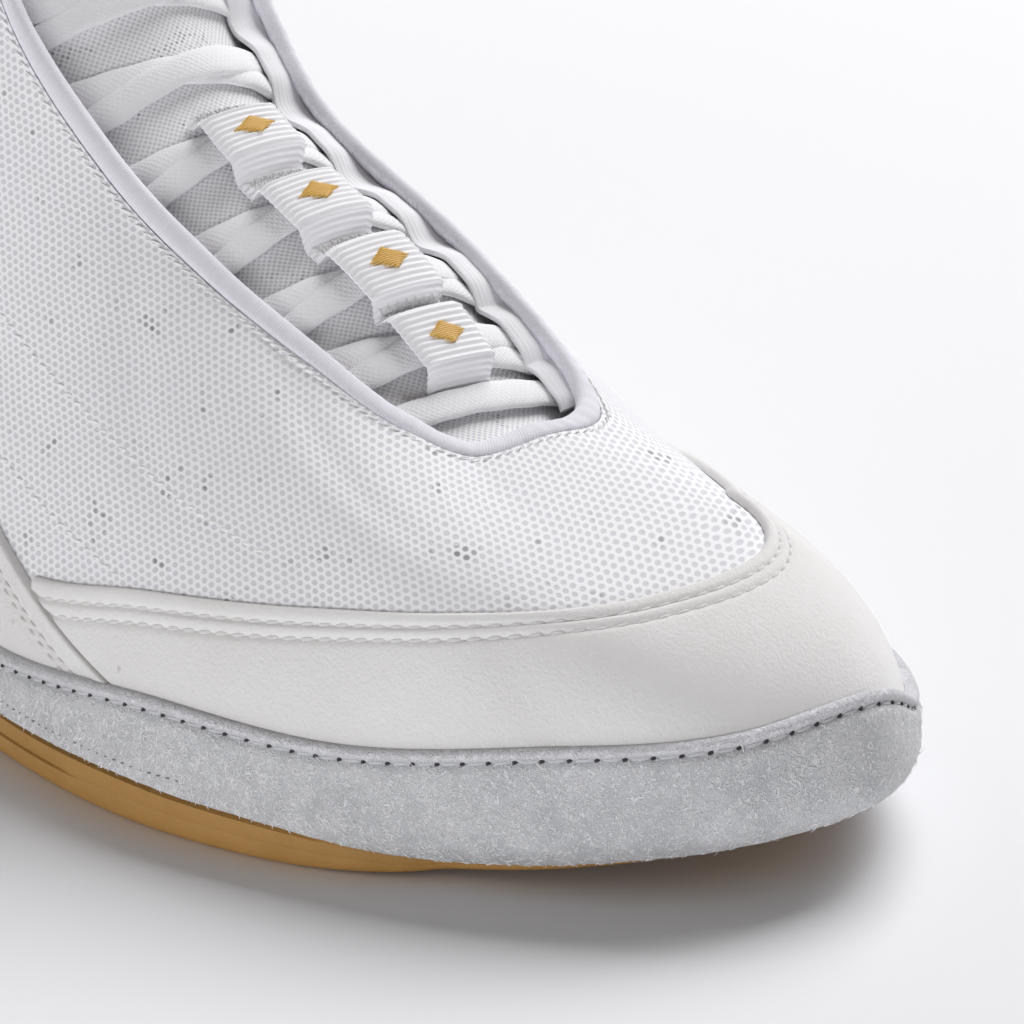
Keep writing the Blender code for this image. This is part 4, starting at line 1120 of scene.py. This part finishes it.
def lace_half(side):
    """Places (v, w, lift) of the lace from the bar's end on one side (0 or 1) up to the top eyelet."""
    path = []
    for i, row in enumerate(ROWS_AT):
        w = np.linspace(-LACE_UNDER, 1 + LACE_UNDER, 36)
        climb = half_spread(side) * (2 * np.clip(w, 0, 1) - 1)
        lift = LACE_LIFT + 0.05
        if side == 0:
            lift += 0.1 + (LACE_THICK - 0.2) * np.sin(math.pi * np.clip(w, 0, 1)) ** 4
        else:
            w = 1 - w
        path += list(zip(row + climb, w, lift + 0 * w))
        if i + 1 < len(ROWS_AT):
            start = row + half_spread(side)
            side = 1 - side
            end = ROWS_AT[i + 1] - half_spread(side)
            for a in np.linspace(0, math.pi, 11)[1:-1]:
                out = LACE_UNDER + 0.035 * math.sin(a)
                v = start + (end - start) * (1 - math.cos(a)) / 2
                path.append((v, -out if side == 0 else 1 + out, LACE_LIFT - 0.5 * math.sin(a)))
    return path


def bar_turn(side):
    """The hidden turn from the bar's end on one side to the first row."""
    turn = []
    for a in np.linspace(0, math.pi, 9)[1:-1]:
        out = LACE_UNDER + 0.02 * math.sin(a)
        v = BAR_AT + (ROWS_AT[0] - half_spread(side) - BAR_AT) * (1 - math.cos(a)) / 2
        turn.append((v, -out if side == 0 else 1 + out, LACE_LIFT - 0.5 * math.sin(a)))
    return turn


bar = [(BAR_AT, w, LACE_LIFT + 0.35) for w in np.linspace(-LACE_UNDER, 1 + LACE_UNDER, 36)]
path = np.array((bar_turn(0) + lace_half(0))[::-1] + bar + bar_turn(1) + lace_half(1))
line = over_tongue(path[:, 0], path[:, 1], path[:, 2])
outward = unit(over_tongue(path[:, 0], path[:, 1], path[:, 2] + 1) - line)
edge_near = np.clip(1 - np.minimum(path[:, 1] + 0.06, 1.06 - path[:, 1]) / 0.25, 0, 1)
fine = np.arange(0.0, run_of(line)[-1], 0.9)
at_run = run_of(line)
kernel = np.array([0.25, 0.5, 0.25])


def smooth(values):
    padded = np.concatenate([values[:1], values, values[-1:]])
    return sum(k * padded[i:i + len(values)] for i, k in enumerate(kernel))


for _ in range(2):
    line = smooth(line)
p, t, n = along(line, outward, fine)
side = unit(np.cross(n, t))
n = np.cross(t, side)
pinch = smooth(np.interp(fine, at_run, edge_near))
LACE_SIDES = 16
angle = 2 * math.pi * np.arange(LACE_SIDES + 1) / LACE_SIDES
x = np.sign(np.cos(angle)) * np.abs(np.cos(angle)) ** 0.75
y = np.sign(np.sin(angle)) * np.abs(np.sin(angle)) ** 0.9
soft = 1 + 0.05 * np.sin(fine * 0.31) + 0.03 * np.sin(fine * 0.9 + 2)
half_wide = LACE_WIDE / 2 * (1 - 0.14 * pinch) * soft
half_thick = LACE_THICK / 2 * (1 + 0.3 * pinch)
tube = (p[:, None] + side[:, None] * (x[None] * half_wide[:, None])[..., None]
        + n[:, None] * (y[None] * half_thick[:, None])[..., None])
uv = np.stack(np.broadcast_arrays(fine[:, None], (angle * 2.0)[None, :]), -1)
count = len(fine)
faces = grid_faces(count, LACE_SIDES + 1).tolist()
faces.append(list(range(LACE_SIDES)))
faces.append([(count - 1) * (LACE_SIDES + 1) + k for k in range(LACE_SIDES)][::-1])
spun, tree, shader = stuff("spun_polyester_lace", "#F8F8FA", 0.85, sheen=0.25)
cloth = cloth_place(tree)
weave = []
for turn in (0.9, -0.9):
    tilt = add(tree, "Mapping", {"Vector": cloth, "Rotation": (0, 0, turn)})
    weave.append(add(tree, "TexWave", {"Vector": tilt.outputs[0], "Scale": 0.5}).outputs["Fac"])
relief(tree, shader, maths(tree, "MULTIPLY", *weave), 0.45, 0.00018)
piece("lace_flat", tube.reshape(-1, 3), faces, uv.reshape(-1, 2), [spun],
      ["lace_bar"] + ["lace_cross_%d" % (i + 1) for i in range(len(ROWS_AT))])


# Lace keeper
# A white grosgrain webbing down the middle of the tongue, sewn down by zigzag rows between its four loops.
# Each loop carries a small lozenge of gold satin stitch; its cut top end is held by one more zigzag row.
WEB_WIDE = 13.0
WEB_THICK = 1.0
LOOP_FLAT = 4.6
LOOP_FOOT = 7.0
LOOP_RISE = 3.9
KEEPER_TAIL = 8.4
RIB_PITCH = 1.15
RIB_DEEP = 0.13
LOOPS = ROWS_AT[:4]


def arches(v, places_up, flat, foot, rise):
    lift = np.full(len(v), GAP)
    for at in places_up:
        lift = np.maximum(lift, GAP + rise * (1 - ease(np.abs(v - at), flat, foot)))
    return lift


def ribbon(v, w_mid, wide, lift, thick, columns, rib):
    """A strip along the throat at the share w_mid across: outer and inner grids and cloth places."""
    a, b, _ = across_throat(v, np.full(len(v), 0.5))
    half = wide / 2 / (np.linalg.norm(b - a, axis=1) * 1.08)
    c = np.linspace(-1.0, 1.0, columns)
    w = w_mid + c[None, :] * half[:, None]
    vv = np.repeat(v[:, None], columns, axis=1)
    edge = thick * np.clip(1 - np.clip((np.abs(c) - 0.9) / 0.1, 0, 1) ** 2 * 0.6, 0, 1)[None, :]
    run = run_of(over_tongue(v, np.full(len(v), w_mid), lift))
    way = unit(np.stack([np.gradient(v), np.gradient(lift)], -1))
    vv = vv - (way[:, 1] * rib(run))[:, None]
    lift = lift + way[:, 0] * rib(run)
    high = np.repeat(lift[:, None], columns, axis=1) + edge
    uv = np.stack(np.broadcast_arrays((c * wide / 2)[None, :], run[:, None]), -1)
    return over_tongue(vv, w, high), over_tongue(vv, w, high - edge), uv


def ribs(run):
    return RIB_DEEP * np.sin(2 * math.pi * run / RIB_PITCH)


v = np.arange(BAR_AT + LACE_WIDE / 2 + 0.6, LOOPS[-1] + KEEPER_TAIL, 0.08)
lift = arches(v, LOOPS, LOOP_FLAT, LOOP_FOOT, LOOP_RISE)
outer, inner, uv = ribbon(v, 0.5, WEB_WIDE, lift, WEB_THICK, 12, ribs)
points, faces, uv, which = sheet(outer, inner, uv)
grosgrain = ribbed("white_grosgrain_webbing", "#F9F9FC", 0.8, 0.2, 0.0, 0.2, 0.0001,
                   Scale=0.8, Distortion=0.5)
piece("keeper_webbing", points, faces, uv, [grosgrain], ["lace_keeper"])


def on_web(v, w_off, lift):
    """Points over the webbing's face, w_off millimetres from its middle line, with their normals."""
    v = np.asarray(v, float)
    a, b, _ = across_throat(v, np.full(len(v), 0.5))
    w = 0.5 + np.asarray(w_off) / (np.linalg.norm(b - a, axis=1) * 1.08)
    up = arches(v, LOOPS, LOOP_FLAT, LOOP_FOOT, LOOP_RISE) + WEB_THICK + lift
    p = over_tongue(v, w, up)
    return p, unit(over_tongue(v, w, up + 1.0) - p)


LOZENGE_HIGH = 1.9
LOZENGE_WIDE = 6.4
SATIN_PITCH = 0.34
lines = []
for at in LOOPS:
    for dv in np.arange(-LOZENGE_HIGH + 0.2, LOZENGE_HIGH, SATIN_PITCH):
        half = LOZENGE_WIDE / 2 * (1 - abs(dv) / LOZENGE_HIGH) + 0.15
        lines.append(on_web(np.full(9, at + dv), np.linspace(-half, half, 9), 0.1))
points = []
faces = []
uv = []
start = 0
for line, outward in lines:
    long = run_of(line)[-1]
    p, f, q = threads([(line, outward)], pitch=long * 2, long=long, wide=0.42, proud=0.28, sink=0.1,
                      slant=0.0)
    points.append(p)
    faces += [[k + start for k in face] for face in f]
    uv.append(q)
    start += len(p)
gold = thread_stuff("gold_rayon_thread", "#F8C968", rough=0.38)
piece("keeper_lozenges", np.concatenate(points), faces, np.concatenate(uv), [gold])

# Zigzag rows between the loops, and at the cut top end
lines = []
for at in [(a + b) / 2 for a, b in zip(LOOPS[:-1], LOOPS[1:])] + [LOOPS[-1] + KEEPER_TAIL - 0.9]:
    for shift in (-0.45, 0.45):
        zig = np.linspace(-WEB_WIDE / 2 + 0.6, WEB_WIDE / 2 - 0.6, 15)
        lines.append(on_web(at + shift + 0.55 * (-1.0) ** np.arange(15), zig, 0.1))
sew("keeper_zigzag", lines, white_thread, "webbing", pitch=1.35, long=1.3, wide=0.36, proud=0.16, sink=0.05,
    slant=0.0)


# Lace tape
# A soft narrow facing tape along the inner edge of the throat, left open over each row for the lace.
TAPE_THICK = 0.8
TAPE_AT = 0.87
TAPE_RISE = 1.9
TAPE_FOOT = 8.2
v = np.arange(1.0, tape_end, 0.5)
lift = arches(v, (BAR_AT,) + ROWS_AT, 2.0, TAPE_FOOT, TAPE_RISE)
foot_w = TAPE_AT - 0.02
inner_u = throat_u(v)[1]
hem_s = np.full((len(v), 1), 0.985)
hem = layer(inner_u, hem_s, -(upper_wall(inner_u, hem_s) + 0.15))[:, 0]
foot = over_tongue(v, np.full(len(v), foot_w), lift)
c = np.linspace(0, 1, 10)[None, :, None]
belly = over_tongue(v, np.full(len(v), foot_w + 0.06), lift + 2.0)
inner = (1 - c) ** 2 * foot[:, None] + 2 * c * (1 - c) * belly[:, None] + c ** 2 * hem[:, None]
outer = inner + unit(np.cross(np.gradient(inner, axis=1), np.gradient(inner, axis=0))) * TAPE_THICK
uv = np.stack(np.broadcast_arrays(c[..., 0] * 6.0, run_of(foot)[:, None]), -1)
points, faces, uv, which = sheet(outer, inner, uv)
facing = ribbed("soft_facing_tape", "#F6F6F9", 0.85, 0.2, 0.0, 0.25, 0.00015, Scale=0.5, Distortion=0.6)
piece("lace_tape_twill", points, faces, uv, [facing], ["lace_tape"])


# Insole
# A cupped foam sockliner with a brushed cloth face; only its top shows, down in the collar.
insole_cloth, tree, shader = stuff("brushed_cloth_over_foam", "#D4D4D9", 0.95, sheen=0.3)
place = body_place(tree)
fluff = add(tree, "TexNoise", {"Vector": place, "Scale": 1400.0, "Detail": 3.0})
relief(tree, shader, fluff.outputs["Fac"], 0.5, 0.0003)
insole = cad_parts["insole"]
insole.data.materials.clear()
insole.data.materials.append(insole_cloth)


# Nap of the rand
# Loose hairs of the split suede, 1 to 2 mm long, curled and lying every way; they fringe its lower edge.
HAIR_COUNT = 11000
HAIR_LONG = (0.9, 2.3)
HAIR_WIDE = 0.16
HAIR_CURL = 3.2
rng = np.random.default_rng(7)
pick_u = rng.random(HAIR_COUNT) * (ROUND_PLACES - 1)
pick_s = 9 + rng.random(HAIR_COUNT) * (rand_face.shape[1] - 12.5)
i = pick_u.astype(int)
j = pick_s.astype(int)
a = (pick_u - i)[:, None]
b = (pick_s - j)[:, None]
root = (rand_face[i, j] * (1 - a) * (1 - b) + rand_face[i + 1, j] * a * (1 - b)
        + rand_face[i, j + 1] * (1 - a) * b + rand_face[i + 1, j + 1] * a * b)
along_u = unit(rand_face[i + 1, j] - rand_face[i, j])
down = unit(rand_face[i, j + 1] - rand_face[i, j])
out = unit(np.cross(along_u, down))
out *= np.sign(np.sum(out * (rand_face - rand_back)[i, j], axis=1))[:, None]
turn = rng.random(HAIR_COUNT) * 2 * math.pi
curl = (rng.random(HAIR_COUNT) - 0.5) * HAIR_CURL
long = (HAIR_LONG[0] + (HAIR_LONG[1] - HAIR_LONG[0]) * rng.random(HAIR_COUNT) ** 1.5)[:, None]
long *= np.clip((rand_face.shape[1] - pick_s) / 9, 0.35, 1)[:, None]
stand = (0.02 + 0.12 * rng.random(HAIR_COUNT) ** 3)[:, None]
rings = []
centre = root - out * 0.06
for k, (rise, share) in enumerate(((0.0, 1.0), (1.0, 1.0), (0.4, 0.8))):
    way = along_u * np.cos(turn + curl * k)[:, None] + down * np.sin(turn + curl * k)[:, None]
    across_way = unit(np.cross(out, way))
    spread = np.stack([across_way, across_way * -0.5 + out * 0.86, across_way * -0.5 - out * 0.86], 1)
    rings.append(centre[:, None] + spread * HAIR_WIDE / 2 * share)
    centre = centre + way * long / 3 + out * (stand * long * rise + 0.03)
points = np.concatenate(rings + [centre[:, None]], 1)
index = np.array([[a, (a + 1) % 3, (a + 1) % 3 + 3, a + 3] for a in range(3)])
start = np.arange(HAIR_COUNT)[:, None, None] * 10
faces = (np.concatenate([index, index + 3])[None] + start).reshape(-1, 4).tolist()
faces += (np.array([[6, 7, 9], [7, 8, 9], [8, 6, 9], [2, 1, 0]])[None] + start).reshape(-1, 3).tolist()
hair, tree, shader = stuff("suede_hairs", "#F4F4F6", 0.85, sheen=0.1)
piece("rand_hairs", points.reshape(-1, 3), faces, np.zeros((len(points) * 10, 2)), [hair])


# Camera, light and floor
# The photograph looks down a little on the outer front corner through a long lens.
CAMERA_TURN = math.radians(49.78)
CAMERA_RISE = math.radians(19.42)
CAMERA_ROLL = math.radians(-1.68)
LENS = 346.84
CAMERA_PLACE = Vector((1.1398, -0.9037, 0.5380))
back = Vector((math.sin(CAMERA_TURN) * math.cos(CAMERA_RISE), -math.cos(CAMERA_TURN) * math.cos(CAMERA_RISE),
               math.sin(CAMERA_RISE)))
right = Vector((math.cos(CAMERA_TURN), math.sin(CAMERA_TURN), 0.0))
up = back.cross(right)
turned = right * math.cos(CAMERA_ROLL) + up * math.sin(CAMERA_ROLL)
raised = up * math.cos(CAMERA_ROLL) - right * math.sin(CAMERA_ROLL)
data = bpy.data.cameras.new("camera")
data.lens = LENS
data.sensor_width = 36.0
camera = bpy.data.objects.new("camera", data)
bpy.context.scene.collection.objects.link(camera)
camera.matrix_world = Matrix((
    (turned.x, raised.x, back.x, CAMERA_PLACE.x),
    (turned.y, raised.y, back.y, CAMERA_PLACE.y),
    (turned.z, raised.z, back.z, CAMERA_PLACE.z),
    (0.0, 0.0, 0.0, 1.0)))
bpy.context.scene.camera = camera


def lamp(name, wide, high, place, power, colour):
    """A soft rectangular studio light that faces the shoe."""
    data = bpy.data.lights.new(name, "AREA")
    data.shape = "RECTANGLE"
    data.size = wide
    data.size_y = high
    data.energy = power
    data.color = ink(colour)[:3]
    obj = bpy.data.objects.new(name, data)
    bpy.context.scene.collection.objects.link(obj)
    obj.location = place
    obj.rotation_euler = (Vector((0.03, 0.0, 0.03)) - Vector(place)).to_track_quat("-Z", "Y").to_euler()


lamp("softbox_behind", 2.2, 2.2, (-0.55, 2.0, 2.35), 119.0, "#FDFDFF")
lamp("low_card_in_front", 1.8, 0.24, (0.95, -1.5, 0.15), 12.5, "#FAFBFF")
lamp("card_at_the_heel", 1.2, 0.3, (-0.9, -1.2, 0.2), 5.5, "#FFFFFF")
world = bpy.data.worlds.new("studio")
world.use_nodes = True
world.node_tree.nodes["Background"].inputs["Color"].default_value = ink("#FFF6EE")
world.node_tree.nodes["Background"].inputs["Strength"].default_value = 0.14
bpy.context.scene.world = world
bpy.context.scene.view_settings.view_transform = "Standard"

paper, tree, shader = stuff("pale_backdrop_paper", "#F0F1F3", 0.9)
mesh = bpy.data.meshes.new("floor")
mesh.from_pydata([(-6, -6, 0), (6, -6, 0), (6, 6, 0), (-6, 6, 0)], [], [(0, 1, 2, 3)])
mesh.materials.append(paper)
floor = bpy.data.objects.new("floor", mesh)
bpy.context.scene.collection.objects.link(floor)
floor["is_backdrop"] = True

low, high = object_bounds()
